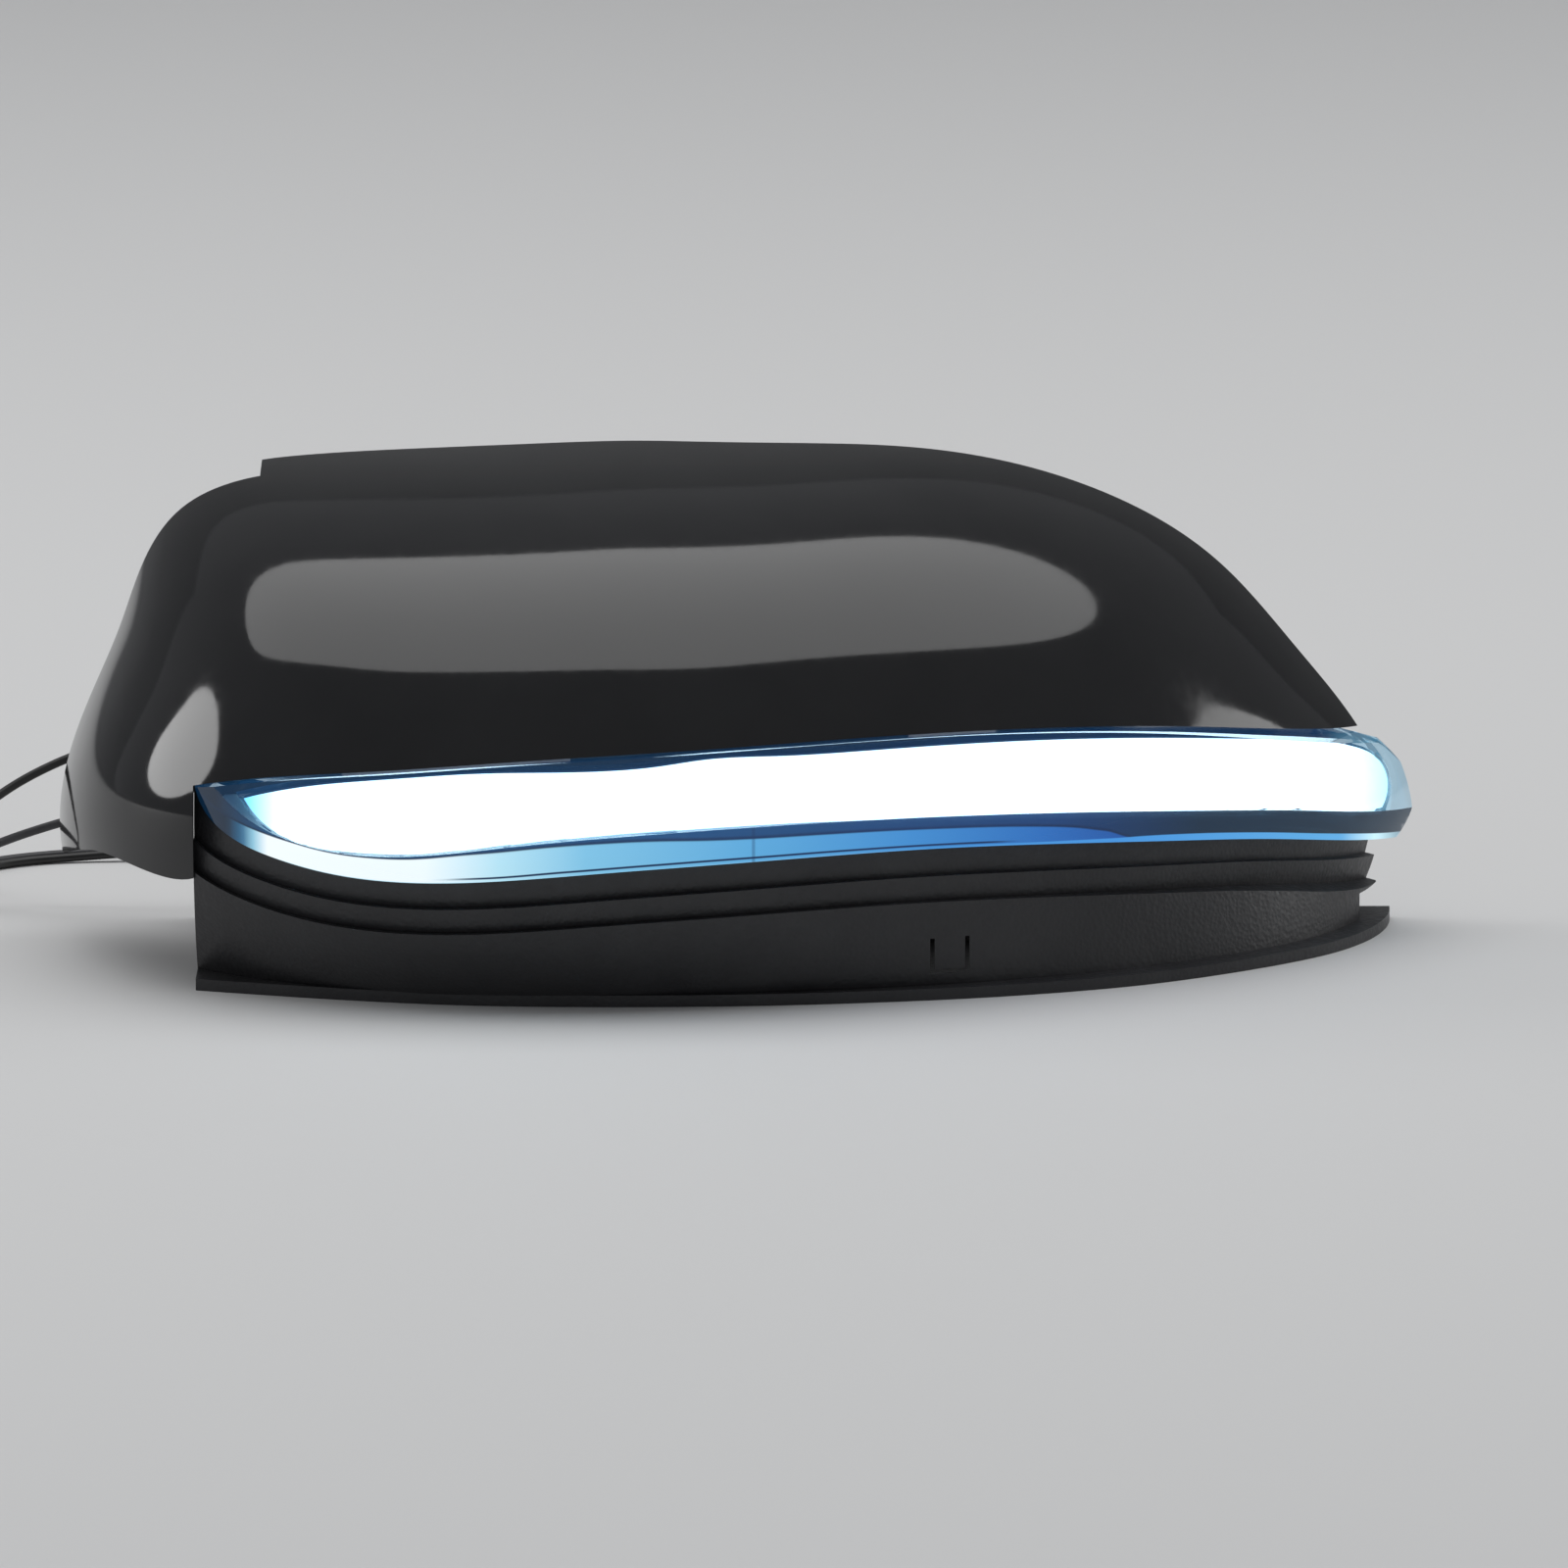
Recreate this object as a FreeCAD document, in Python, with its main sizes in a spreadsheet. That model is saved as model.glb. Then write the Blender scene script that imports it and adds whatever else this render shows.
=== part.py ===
import FreeCAD, Part
import math
import os

import Sketcher
from FreeCAD import Placement, Rotation, Vector

# Lighted turn signal lamp in the lower front of a door mirror housing.
# The rounded front of the housing faces -Y, its open side faces +Y, +X points away from the car
# and the part stands on its flat base at Z = 0. "Depth" is the distance behind the nose.

SIZES = (
    ("head_width", 245.0, "scale of the front outline across"),
    ("head_height", 88.5, "scale of the front outline upwards"),
    ("head_depth", 90.0, "nose to the open rear rim"),
    ("form_depth", 110.0, "depth at which the outer form would run straight back"),
    ("nose_across", -33.75, "nose from the middle of the width"),
    ("nose_height", 30.0, "nose above the base"),
    ("nose_half_width", 121.0, "half axis across of the rounded nose"),
    ("nose_half_height", 65.5, "half axis upwards of the rounded nose"),
    ("joint_gap", 0.5, "visible gap between two mouldings"),
    ("fit_gap", 0.3, "clearance between pieces that seat on each other"),
    ("touch_gap", 0.1, "clearance of small pieces on their seat"),
    ("cap_wall", 2.4, "wall of the mirror cap"),
    ("notch_across", -85.8, "outer end of the cut back rim at the arm side"),
    ("notch_depth", 10.0, "how far the rim is cut back there"),
    ("lens_proud", 0.8, "lens in front of the cap"),
    ("lens_flare", 4.4, "what the lens stands prouder at its outboard end"),
    ("guide_flare", 3.0, "what the light guide stands prouder there"),
    ("flare_from", 31.2, "place across where the lens begins to stand prouder"),
    ("flare_to", 119.2, "place across where it is full"),
    ("lens_wall", 2.2, "wall of the lens in front of the light guide"),
    ("lens_skirt", 4.5, "inner edge of the lens behind the outer form"),
    ("lens_rim", 1.7, "edge of the lens around the light guide"),
    ("lens_end", 86.0, "depth at which the lens ends outboard"),
    ("flank_lean", 2.0, "how far the lower flank of the lens leans back"),
    ("flank_drop", 6.0, "height of the lower flank"),
    ("flank_reach", 156.5, "outboard end of the lower flank from the nose"),
    ("gasket_width", 1.1, "foam gasket behind the lens edge"),
    ("gasket_depth", 2.5, "depth of the foam gasket"),
    ("lamp_depth", 16.0, "rear face of the lamp housing behind the outer form"),
    ("lamp_wall", 1.8, "wall of the lamp housing"),
    ("reflector_thick", 1.0, "reflector sheet"),
    ("reflector_start", -90.5, "inboard end of the reflector sheet"),
    ("board_thick", 1.2, "circuit board"),
    ("board_tall", 7.4, "height of the circuit board"),
    ("board_end", 6.0, "circuit board beyond its first and last diode"),
    ("led_width", 3.5, "light emitting diode package"),
    ("led_tall", 2.8, "light emitting diode package"),
    ("led_thick", 1.9, "light emitting diode package"),
    ("led_window", 5.4, "bore in the reflector over each diode"),
    ("led_count", 11, "diodes along the board"),
    ("led_first", -70.8, "first diode, place across"),
    ("led_last", 89.2, "last diode, place across"),
    ("ledge_one_drop", 4.7, "upper ledge below the lens"),
    ("ledge_two_drop", 9.2, "lower ledge below the lens"),
    ("ledge_one_inset", 3.4, "housing wall directly below the lens"),
    ("ledge_two_inset", 1.8, "housing wall between the ledges"),
    ("housing_inset", 0.3, "housing wall below the ledges"),
    ("housing_wall", 2.5, "wall of the lower housing"),
    ("shelf_thick", 2.0, "shelf that carries the lamp"),
    ("base_lip_height", 2.1, "lip of the base plate"),
    ("foot_height", 18.0, "height below which the housing wall flares out to the base"),
    ("foot_flare", 9.5, "how far it flares out"),
    ("foot_flare_from", -8.0, "place across where that flare begins"),
    ("foot_flare_to", 79.2, "place across where it is full"),
    ("foot_return", 12.0, "how far it comes back in at the outboard end"),
    ("foot_return_from", 97.2, "place across where it begins to come back"),
    ("foot_return_to", 127.2, "place across where it would be fully back"),
    ("housing_end", 116.3, "outboard end of the housing below the lens"),
    ("foot_end", 112.7, "outboard end of the housing below its lower ledge"),
    ("foot_end_height", 6.9, "height of the step between those two ends"),
    ("floor_thick", 2.5, "floor of the lower housing"),
    ("latch_across", 34.4, "snap latch in the housing wall"),
    ("latch_low", 4.2, "snap latch in the housing wall"),
    ("latch_wide", 7.0, "snap latch in the housing wall"),
    ("latch_tall", 6.5, "snap latch in the housing wall"),
    ("latch_slot", 0.8, "slot around the snap latch"),
    ("latch_reach", 41.0, "depth to which the slots around the latch are cut"),
    ("drain_radius", 2.5, "drain holes in the floor"),
    ("drain_depth", 72.0, "drain holes in the floor"),
    ("web_rib_deep", 9.0, "ribs on the carrier web"),
    ("arm_side", -95.8, "end of the lower housing at the arm side"),
    ("arm_opening_tall", 39.0, "opening of the carrier frame over that end"),
    ("frame_inset", 6.3, "outside of the carrier frame behind the outer form"),
    ("frame_wall", 2.5, "rim wall of the carrier frame"),
    ("frame_short", 1.5, "carrier frame in front of the rear rim"),
    ("web_depth", 58.0, "front face of the carrier web"),
    ("web_thick", 3.0, "carrier web"),
    ("seat_rib_depth", 82.0, "rib that the cap seats on"),
    ("seat_rib_thick", 2.5, "rib that the cap seats on"),
    ("window_radius", 5.0, "corners of the web windows"),
    ("screw_radius", 1.75, "screws of the mouldings"),
    ("screw_length", 12.0, "screws of the mouldings"),
    ("screw_head_radius", 3.6, "screws of the mouldings"),
    ("screw_head_tall", 2.4, "screws of the mouldings"),
    ("recess_wide", 1.0, "cross recess in the screw heads"),
    ("recess_long", 3.8, "cross recess in the screw heads"),
    ("recess_deep", 1.3, "cross recess in the screw heads"),
    ("post_radius", 3.7, "screw posts"),
    ("post_bore_depth", 10.0, "bore in the screw posts"),
    ("housing_post_long", 16.0, "screw posts on the housing floor"),
    ("drive_circle", 22.0, "radius of the screw circle for the mirror drive"),
    ("drive_across", -0.8, "middle of that circle"),
    ("drive_height", 51.0, "middle of that circle"),
    ("drive_bore", 2.6, "bores for the mirror drive"),
    ("drive_boss_radius", 5.5, "bosses for the mirror drive"),
    ("drive_boss_long", 9.0, "bosses for the mirror drive"),
    ("resistor_long", 2.0, "resistors on the circuit board"),
    ("resistor_tall", 1.2, "resistors on the circuit board"),
    ("resistor_thick", 0.6, "resistors on the circuit board"),
    ("board_screw_radius", 1.0, "screws of the circuit board"),
    ("board_screw_long", 4.0, "screws of the circuit board"),
    ("board_screw_tall", 1.0, "heads of those screws"),
    ("board_screw_head", 2.0, "screws of the circuit board"),
    ("lead_across", -78.8, "lead outlet of the lamp"),
    ("lead_height", 33.5, "lead outlet of the lamp"),
    ("lead_pad_radius", 5.2, "flat pad around the lead outlet"),
    ("lead_pad_depth", 33.0, "rear face of that pad"),
    ("sleeve_radius", 2.0, "sleeved part of the lead"),
    ("sleeve_end_depth", 77.0, "end of the sleeve"),
    ("sleeve_inside", 6.0, "sleeve inside the lamp"),
    ("grommet_radius", 4.2, "rubber grommet at the lamp"),
    ("grommet_long", 9.0, "rubber grommet at the lamp"),
    ("web_grommet_radius", 5.6, "rubber grommet in the web"),
    ("web_grommet_long", 4.8, "rubber grommet in the web"),
    ("web_hole_radius", 4.4, "hole for the web grommet"),
    ("saddle_long", 7.0, "saddle that holds the lead"),
    ("saddle_wide", 9.0, "saddle that holds the lead"),
    ("saddle_foot", 9.0, "foot of the saddle"),
    ("saddle_thick", 2.5, "foot of the saddle"),
    ("clip_screw_radius", 1.4, "screw of the saddle"),
    ("clip_screw_long", 7.0, "screw of the saddle"),
    ("vent_across", 27.2, "breather of the lamp"),
    ("vent_height", 37.0, "breather of the lamp"),
    ("vent_depth", 41.0, "seat of the breather"),
    ("vent_radius", 4.5, "breather of the lamp"),
    ("vent_tall", 3.2, "breather of the lamp"),
    ("wire_radius", 0.8, "single wires"),
    ("plug_long", 16.0, "two pin plug"),
    ("plug_wide", 9.0, "two pin plug"),
    ("plug_tall", 6.0, "two pin plug"),
    ("plug_wall", 1.2, "two pin plug"),
    ("pin_radius", 0.75, "pins of the plug"),
    ("pin_pitch", 3.6, "pins of the plug"),
)

# Outlines in the front view, as (across, up) from the nose in shares of head_width and head_height.
RIM = (
    (0.000, -0.753), (0.203, -0.902), (0.482, -0.770), (0.597, -0.418), (0.637, -0.119),
    (0.567, 0.220), (0.501, 0.421), (0.415, 0.562), (0.213, 0.659), (0.069, 0.663),
    (-0.059, 0.651), (-0.187, 0.633), (-0.279, 0.554), (-0.322, 0.291), (-0.367, -0.178),
    (-0.201, -0.618),
)
LAMP_TOP = (
    (0.690, -0.017), (0.578, 0.070), (0.458, 0.142), (0.343, 0.179), (0.229, 0.191),
    (0.106, 0.185), (-0.024, 0.168), (-0.127, 0.142), (-0.204, 0.115),
)
LAMP_TIP = ((-0.252, 0.085),)
LAMP_BOTTOM = (
    (-0.241, 0.027), (-0.196, -0.034), (-0.139, -0.064), (-0.078, -0.070), (0.033, -0.050),
    (0.147, -0.035), (0.261, -0.032), (0.371, -0.047), (0.457, -0.068), (0.527, -0.093),
    (0.608, -0.145), (0.690, -0.203),
)
CREASE = (
    (-0.237, 0.093), (-0.220, 0.054), (-0.188, 0.011), (-0.147, -0.012), (-0.086, -0.010),
    (-0.024, 0.011), (0.090, 0.035), (0.200, 0.041), (0.314, 0.031), (0.429, 0.009),
    (0.490, -0.009), (0.551, -0.036), (0.600, -0.070), (0.690, -0.141),
)
GUIDE_TOP = (
    (0.614, -0.051), (0.604, 0.002), (0.584, 0.041), (0.561, 0.066), (0.517, 0.095),
    (0.457, 0.124), (0.343, 0.158), (0.229, 0.168), (0.171, 0.169), (0.116, 0.169),
    (0.082, 0.159), (0.049, 0.153), (-0.052, 0.147), (-0.108, 0.133), (-0.164, 0.112),
    (-0.215, 0.075),
)
CAP_LOWER_EDGE = (
    (-0.252, -0.098), (-0.304, -0.096), (-0.331, -0.099), (-0.346, -0.126), (-0.362, -0.191),
    (-0.400, -0.330),
)
LENS_END = ((0.560, 0.160), (0.611, 0.046), (0.639, -0.082), (0.626, -0.158), (0.580, -0.250))

# Screw places in the front view, in millimetres across and above the base.
CAP_SCREWS = ((-82.8, 59.0), (-38.8, 69.0), (19.2, 66.0), (54.2, 53.0))
LAMP_SCREWS = ((-56.8, 33.5), (-0.8, 36.0), (53.2, 36.0))
HOUSING_SCREWS = ((-70.8, 12.0), (-0.8, 12.0), (59.2, 12.0))
WINDOWS = ((-72.8, 44.0, -30.8, 62.0), (31.2, 46.0, 47.2, 62.0), (-58.8, 8.0, -12.8, 24.0),
           (11.2, 8.0, 47.2, 24.0))
RIBS = ((-27.3, 5.0, 2.0, 76.0), (25.7, 5.0, 2.0, 76.0), (-58.8, 27.0, 106.0, 2.0))
DRAINS = (-38.8, 31.2)
# Front edge of the base plate, in millimetres across and behind the nose.
BASE_EDGE = (
    (-95.8, 25.0), (-86.8, 22.0), (-74.8, 18.2), (-60.8, 14.5), (-46.8, 11.9), (-32.8, 10.8), (-14.8, 10.6),
    (1.6, 11.4), (15.5, 13.0), (29.2, 15.3), (43.2, 18.5), (57.2, 23.0), (71.2, 29.0), (85.5, 38.0),
    (99.8, 49.7), (107.1, 57.6), (114.6, 70.5), (118.6, 88.2),
)

GRID = 18
FULL_TURN = 1.01
SQUARENESS = 6
BOARD_STEPS = 8
NOSE_LIMIT = 1e-3
FOOT_LIMIT = 1.4
FAR = 400.0

doc = FreeCAD.newDocument("mirror_turn_signal_lamp")
sheet = doc.addObject("Spreadsheet::Sheet", "sizes")
for row, (alias, value, note) in enumerate(SIZES, start=1):
    sheet.set(f"A{row}", alias)
    sheet.set(f"B{row}", str(value))
    sheet.setAlias(f"B{row}", alias)
    sheet.set(f"C{row}", note)
doc.recompute()


def size(alias):
    return float(sheet.get(alias))


NOSE = Vector(size("nose_across"), -(size("head_depth") - size("lens_proud")) / 2, size("nose_height"))
RIM_Y = NOSE.y + size("head_depth")


def front_place(shares):
    """The point of the front view that stands at these shares from the nose."""
    across, up = shares
    return Vector(NOSE.x + across * size("head_width"), 0, NOSE.z + up * size("head_height"))


def at_depth(depth):
    return NOSE.y + depth


# The outer form: every line from the nose to the rim is a quarter ellipse,
# and the cross sections grow from an ellipse at the nose to the rim outline.

def rim_reach_curve():
    reaches = []
    angles = []
    for shares in RIM:
        spot = front_place(shares) - Vector(NOSE.x, 0, NOSE.z)
        angle = math.atan2(spot.z, spot.x)
        while angles and angle < angles[-1]:
            angle += 2 * math.pi
        angles.append(angle)
        reaches.append(Vector(spot.Length, 0, 0))
    curve = Part.BSplineCurve()
    curve.interpolate(Points=reaches, Parameters=angles + [angles[0] + 2 * math.pi], PeriodicFlag=True)
    return curve, angles[0]


REACH_CURVE, FIRST_ANGLE = rim_reach_curve()


def form_point(turn, angle):
    """A point of the outer form: turn goes from 0 at the nose to a right angle at the rim."""
    growth = math.sin(turn)
    blend = growth ** 2
    rim_reach = REACH_CURVE.value((angle - FIRST_ANGLE) % (2 * math.pi) + FIRST_ANGLE).x
    nose_reach = 1 / math.hypot(math.cos(angle) / size("nose_half_width"),
                                math.sin(angle) / size("nose_half_height"))
    reach = growth * (nose_reach + (rim_reach - nose_reach) * blend)
    depth = size("form_depth") * (1 - math.cos(turn))
    return NOSE + Vector(reach * math.cos(angle), depth, reach * math.sin(angle))


def form_normal(turn, angle):
    """The outward normal of the outer form."""
    step = 1e-4
    turn = max(turn, NOSE_LIMIT)
    along = form_point(turn + step, angle) - form_point(turn - step, angle)
    around = form_point(turn, angle + step) - form_point(turn, angle - step)
    return along.cross(around).normalize()


def inset_point(turn, angle, inset):
    place = form_point(turn, angle)
    return place - form_normal(turn, angle) * inset(place)


def even(amount):
    return lambda place: amount


def eased(value, start, end):
    """A smooth rise from 0 at start to 1 at end."""
    share = min(max((value - start) / (end - start), 0.0), 1.0)
    return share * share * (3 - 2 * share)


def flared(inset, flare):
    """An inset that becomes smaller by flare towards the outboard end of the lamp."""
    return lambda place: inset - flare * eased(place.x, size("flare_from"), size("flare_to"))


def footed(inset):
    """An inset that becomes smaller towards the base, most of all at the outboard half."""
    def amount(place):
        out = size("foot_flare") * eased(place.x, size("foot_flare_from"), size("foot_flare_to"))
        back = size("foot_return") * eased(place.x, size("foot_return_from"), size("foot_return_to"))
        low = min(max(1 - place.z / size("foot_height"), 0.0), FOOT_LIMIT)
        return inset - (out - back) * low
    return amount


def form_solid(inset):
    """The closed solid inside the form, moved inwards by inset, from the nose to the rear rim."""
    grid = []
    for row in range(GRID + 1):
        line = []
        for column in range(GRID + 1):
            across = 2 * column / GRID - 1
            up = 2 * row / GRID - 1
            spread = math.hypot(across, up)
            turn = math.pi / 2 * FULL_TURN * spread / (1 + spread ** SQUARENESS) ** (1 / SQUARENESS)
            angle = math.atan2(up * size("nose_half_height"), across * size("nose_half_width"))
            line.append(inset_point(turn, angle, inset))
        grid.append(line)
    surface = Part.BSplineSurface()
    surface.interpolate(grid)
    solid = surface.toShape().extrude(Vector(0, FAR / 2, 0))
    corner = Vector(-FAR / 2, RIM_Y - FAR / 2, -FAR / 2)
    return solid.common(Part.makeBox(FAR, FAR / 2, FAR, corner)).Solids[0]


def form_place(across, up, inset):
    """The place on the inset form that lies at across and up in the front view, and its outward normal."""
    aim = Vector(across, 0, up)
    for _ in range(8):
        angle = math.atan2(aim.z - NOSE.z, aim.x - NOSE.x)
        low, high = 0.0, math.pi / 2
        for _ in range(30):
            turn = (low + high) / 2
            spot = form_point(turn, angle)
            if math.hypot(spot.x - NOSE.x, spot.z - NOSE.z) < math.hypot(aim.x - NOSE.x, aim.z - NOSE.z):
                low = turn
            else:
                high = turn
        spot = inset_point(turn, angle, even(inset))
        aim += Vector(across - spot.x, 0, up - spot.z)
    return spot, form_normal(turn, angle)


# Document helpers.

def shape_feature(name, shape):
    feature = doc.addObject("Part::Feature", name)
    feature.Shape = shape
    return feature


def bind(feature, **rules):
    for name, rule in rules.items():
        feature.setExpression(name.replace("_at_", "Placement.Base."), rule)
    return feature


def block(name, **rules):
    """A box whose Length, Width, Height and corner (_at_x, _at_y, _at_z) are bound to the sheet."""
    return bind(doc.addObject("Part::Box", name), **rules)


def rod(name, radius, length, across, start, height):
    """A cylinder along +Y: radius, length and its starting point, each a rule."""
    cylinder = doc.addObject("Part::Cylinder", name)
    cylinder.Placement = Placement(Vector(), Rotation(Vector(1, 0, 0), -90))
    return bind(cylinder, Radius=radius, Height=length, _at_x=across, _at_y=start, _at_z=height)


def common(name, *parts):
    feature = doc.addObject("Part::MultiCommon", name)
    feature.Shapes = list(parts)
    return feature


def fuse(name, *parts):
    feature = doc.addObject("Part::MultiFuse", name)
    feature.Shapes = list(parts)
    return feature


def cut(name, base, *tools):
    feature = doc.addObject("Part::Cut", name)
    feature.Base = base
    feature.Tool = tools[0] if len(tools) == 1 else fuse(name + "_tools", *tools)
    return feature


def group(name, *parts):
    feature = doc.addObject("Part::Compound", name)
    feature.Links = list(parts)
    return feature


NOSE_RULE = "-(sizes.head_depth - sizes.lens_proud) / 2"
RIM_RULE = NOSE_RULE + " + sizes.head_depth"


def form(name, inset):
    return shape_feature(name + "_form", form_solid(inset))


def spline(points):
    curve = Part.BSplineCurve()
    curve.interpolate(points)
    return curve.toShape()


def raised(name, edges, direction):
    """A closed outline as a solid along direction; its length is bound to the sheet afterwards."""
    outline = shape_feature(name + "_outline", Part.Face(Part.Wire(edges)))
    solid = doc.addObject("Part::Extrusion", name)
    solid.Base = outline
    solid.Dir = direction
    solid.DirMode = "Custom"
    solid.Solid = True
    return solid


def extruded(name, edges):
    """A front view outline as a solid that runs right through the part along Y."""
    solid = raised(name, edges, Vector(0, 1, 0))
    solid.LengthFwd = FAR / 2
    solid.LengthRev = FAR / 2
    return solid


def grown(points, amount):
    """The chain of points moved sideways: outwards where it runs anticlockwise seen from the front."""
    moved = []
    for index, point in enumerate(points):
        before = points[max(index - 1, 0)]
        after = points[min(index + 1, len(points) - 1)]
        along = (after - before).normalize()
        moved.append(point + Vector(along.z, 0, -along.x) * amount)
    return moved


def lamp_chain(amount):
    """The lens outline from its top outboard end round the inboard tip to its bottom outboard end."""
    points = [front_place(shares) for shares in LAMP_TOP + LAMP_TIP + LAMP_BOTTOM]
    return grown(points, amount)


def lamp_region(name, amount):
    points = lamp_chain(amount)
    tip = len(LAMP_TOP)
    top = spline(points[:tip + 1])
    bottom = spline(points[tip:])
    return extruded(name, [top, bottom, Part.makeLine(points[-1], points[0])])


def polygon_edges(points):
    return [Part.makeLine(start, end) for start, end in zip(points, points[1:])]


def end_region(name):
    """Everything inboard of the round outboard end of the lens."""
    points = [front_place(shares) for shares in LENS_END]
    corners = [points[-1], Vector(points[-1].x, 0, -FAR / 2), Vector(-FAR / 2, 0, -FAR / 2),
               Vector(-FAR / 2, 0, FAR / 2), Vector(points[0].x, 0, FAR / 2), points[0]]
    return extruded(name, [spline(points)] + polygon_edges(corners))


def below_lamp(name, amount):
    """Everything below the lens bottom line, moved down by amount."""
    points = lamp_chain(amount)[len(LAMP_TOP):]
    first, last = points[0], points[-1]
    corners = [last, Vector(last.x, 0, -FAR / 4), Vector(-FAR / 2, 0, -FAR / 4),
               Vector(-FAR / 2, 0, first.z), first]
    return extruded(name, [spline(points)] + polygon_edges(corners))


def above_lamp(name, amount):
    """Everything that the cap covers: above the lens top line and, at the arm side, above the cap's edge."""
    points = lamp_chain(amount)[:len(LAMP_TOP) + 1]
    edge = [front_place(shares) for shares in CAP_LOWER_EDGE]
    edge[0] = Vector(points[-1].x, 0, edge[0].z)
    corners = [edge[-1], Vector(edge[-1].x, 0, FAR / 2), Vector(points[0].x, 0, FAR / 2), points[0]]
    sides = [spline(points), Part.makeLine(points[-1], edge[0]), spline(edge)] + polygon_edges(corners)
    return extruded(name, sides)


def round_window(name, left, low, right, high, radius):
    """A rectangle with round corners in the front view, run right through the part."""
    middles = ((right - radius, low + radius), (right - radius, high - radius),
               (left + radius, high - radius), (left + radius, low + radius))
    arcs = []
    for index, (across, up) in enumerate(middles):
        middle = Vector(across, 0, up)
        turns = [math.radians(90 * index - 90 + step) for step in (0, 45, 90)]
        arcs.append([middle + Vector(math.cos(turn), 0, math.sin(turn)) * radius for turn in turns])
    edges = []
    for index, arc in enumerate(arcs):
        edges.append(Part.Arc(*arc).toShape())
        edges.append(Part.makeLine(arc[2], arcs[(index + 1) % 4][0]))
    return extruded(name, edges)


def sketch(body, name, plane, corners):
    """A closed polygon whose corners are bound to the sheet, on one of the body's origin planes."""
    profile = body.newObject("Sketcher::SketchObject", name)
    support = [item for item in body.Origin.OriginFeatures if item.Role == plane][0]
    profile.AttachmentSupport = [(support, "")]
    profile.MapMode = "FlatFace"
    count = len(corners)
    start = [Vector(math.cos(2 * math.pi * i / count), math.sin(2 * math.pi * i / count), 0)
             for i in range(count)]
    for index in range(count):
        profile.addGeometry(Part.LineSegment(start[index], start[(index + 1) % count]), False)
    for index in range(count):
        profile.addConstraint(Sketcher.Constraint("Coincident", index, 2, (index + 1) % count, 1))
    for index, rules in enumerate(corners):
        for kind, rule in zip(("DistanceX", "DistanceY"), rules):
            number = profile.addConstraint(Sketcher.Constraint(kind, -1, 1, index, 1, 1.0))
            profile.setExpression(f"Constraints[{number}]", rule)
    return profile


def turned(name, corners):
    """A body turned about its own Z axis from a profile of (radius, height) rules."""
    body = doc.addObject("PartDesign::Body", name)
    profile = sketch(body, name + "_profile", "XZ_Plane", corners)
    turn = body.newObject("PartDesign::Revolution", name + "_turn")
    turn.Profile = profile
    turn.ReferenceAxis = (profile, ["V_Axis"])
    turn.Angle = 360
    return body


def padded(name, plane, corners, length):
    body = doc.addObject("PartDesign::Body", name)
    profile = sketch(body, name + "_profile", plane, corners)
    pad = body.newObject("PartDesign::Pad", name + "_pad")
    pad.Profile = profile
    pad.setExpression("Length", length)
    return body


def placed(name, source, point, direction):
    """A copy of a turned piece, its own +Z along direction."""
    copy = doc.addObject("Part::Feature", name)
    copy.Shape = source.Shape
    copy.Placement = Placement(point, Rotation(Vector(0, 0, 1), direction))
    return copy


BACKWARDS = Vector(0, 1, 0)


# The lamp: lens, light guide, gasket, housing, reflector and circuit board.

def skin_between(name, outer, inner, region, limit=None):
    """The part of the wall between two inset forms that lies in a region of the front view."""
    zone = common(name + "_zone", region, limit) if limit else region
    return common(name, cut(name + "_wall", outer, inner), zone)


def in_front_of(name, depth):
    return block(name, Length=str(FAR), Width=f"{depth} + {FAR / 4}", Height=str(FAR),
                 _at_x=f"-{FAR / 2}", _at_y=f"{NOSE_RULE} - {FAR / 4}", _at_z=f"-{FAR / 4}")


lens_limit = in_front_of("lens_limit", "sizes.lens_end")
guide_limit = in_front_of("guide_limit", "sizes.lens_end - sizes.lens_rim - sizes.fit_gap")
pocket_limit = in_front_of("pocket_limit", "sizes.lens_end - sizes.lens_rim")

guide_front = size("lens_wall") - size("lens_proud") + size("fit_gap")
seat = size("lens_skirt") + size("fit_gap")
tray_edge = -(size("gasket_width") + 2 * size("touch_gap"))
tray_room = tray_edge - size("lamp_wall")
tray_floor = size("lamp_depth") - size("lamp_wall")
board_back = tray_floor - size("fit_gap")
board_front = board_back - size("board_thick")

lens_front = flared(-size("lens_proud"), size("lens_flare"))
lens_outer = form("lens_outer", lens_front)
lens_inner = form("lens_inner", even(size("lens_skirt")))
guide_outer = form("guide_outer", flared(guide_front, size("guide_flare")))
pocket_outer = form("pocket_outer", flared(guide_front - size("fit_gap"), size("guide_flare")))
outer_form = form("outer", even(0.0))


def flank_cutter():
    """What is taken off the lens below its crease, so that the lower flank leans back to the bottom edge."""
    grid = []
    for spot in [front_place(shares) for shares in CREASE]:
        across = min(spot.x, NOSE.x + size("flank_reach"))
        front = lens_front(Vector(across, 0, 0))
        row = []
        for step in (-0.25, 0.4, 1.0, 1.7):
            row.append(form_place(across, spot.z - step * size("flank_drop"),
                                  front + step * size("flank_lean"))[0])
        grid.append(row)
    surface = Part.BSplineSurface()
    surface.interpolate(grid)
    return surface.toShape().extrude(Vector(0, -size("lamp_depth") * 2, 0))


guide_edge = [front_place(shares) for shares in GUIDE_TOP]
crease_line = [front_place(shares) for shares in CREASE]


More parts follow.
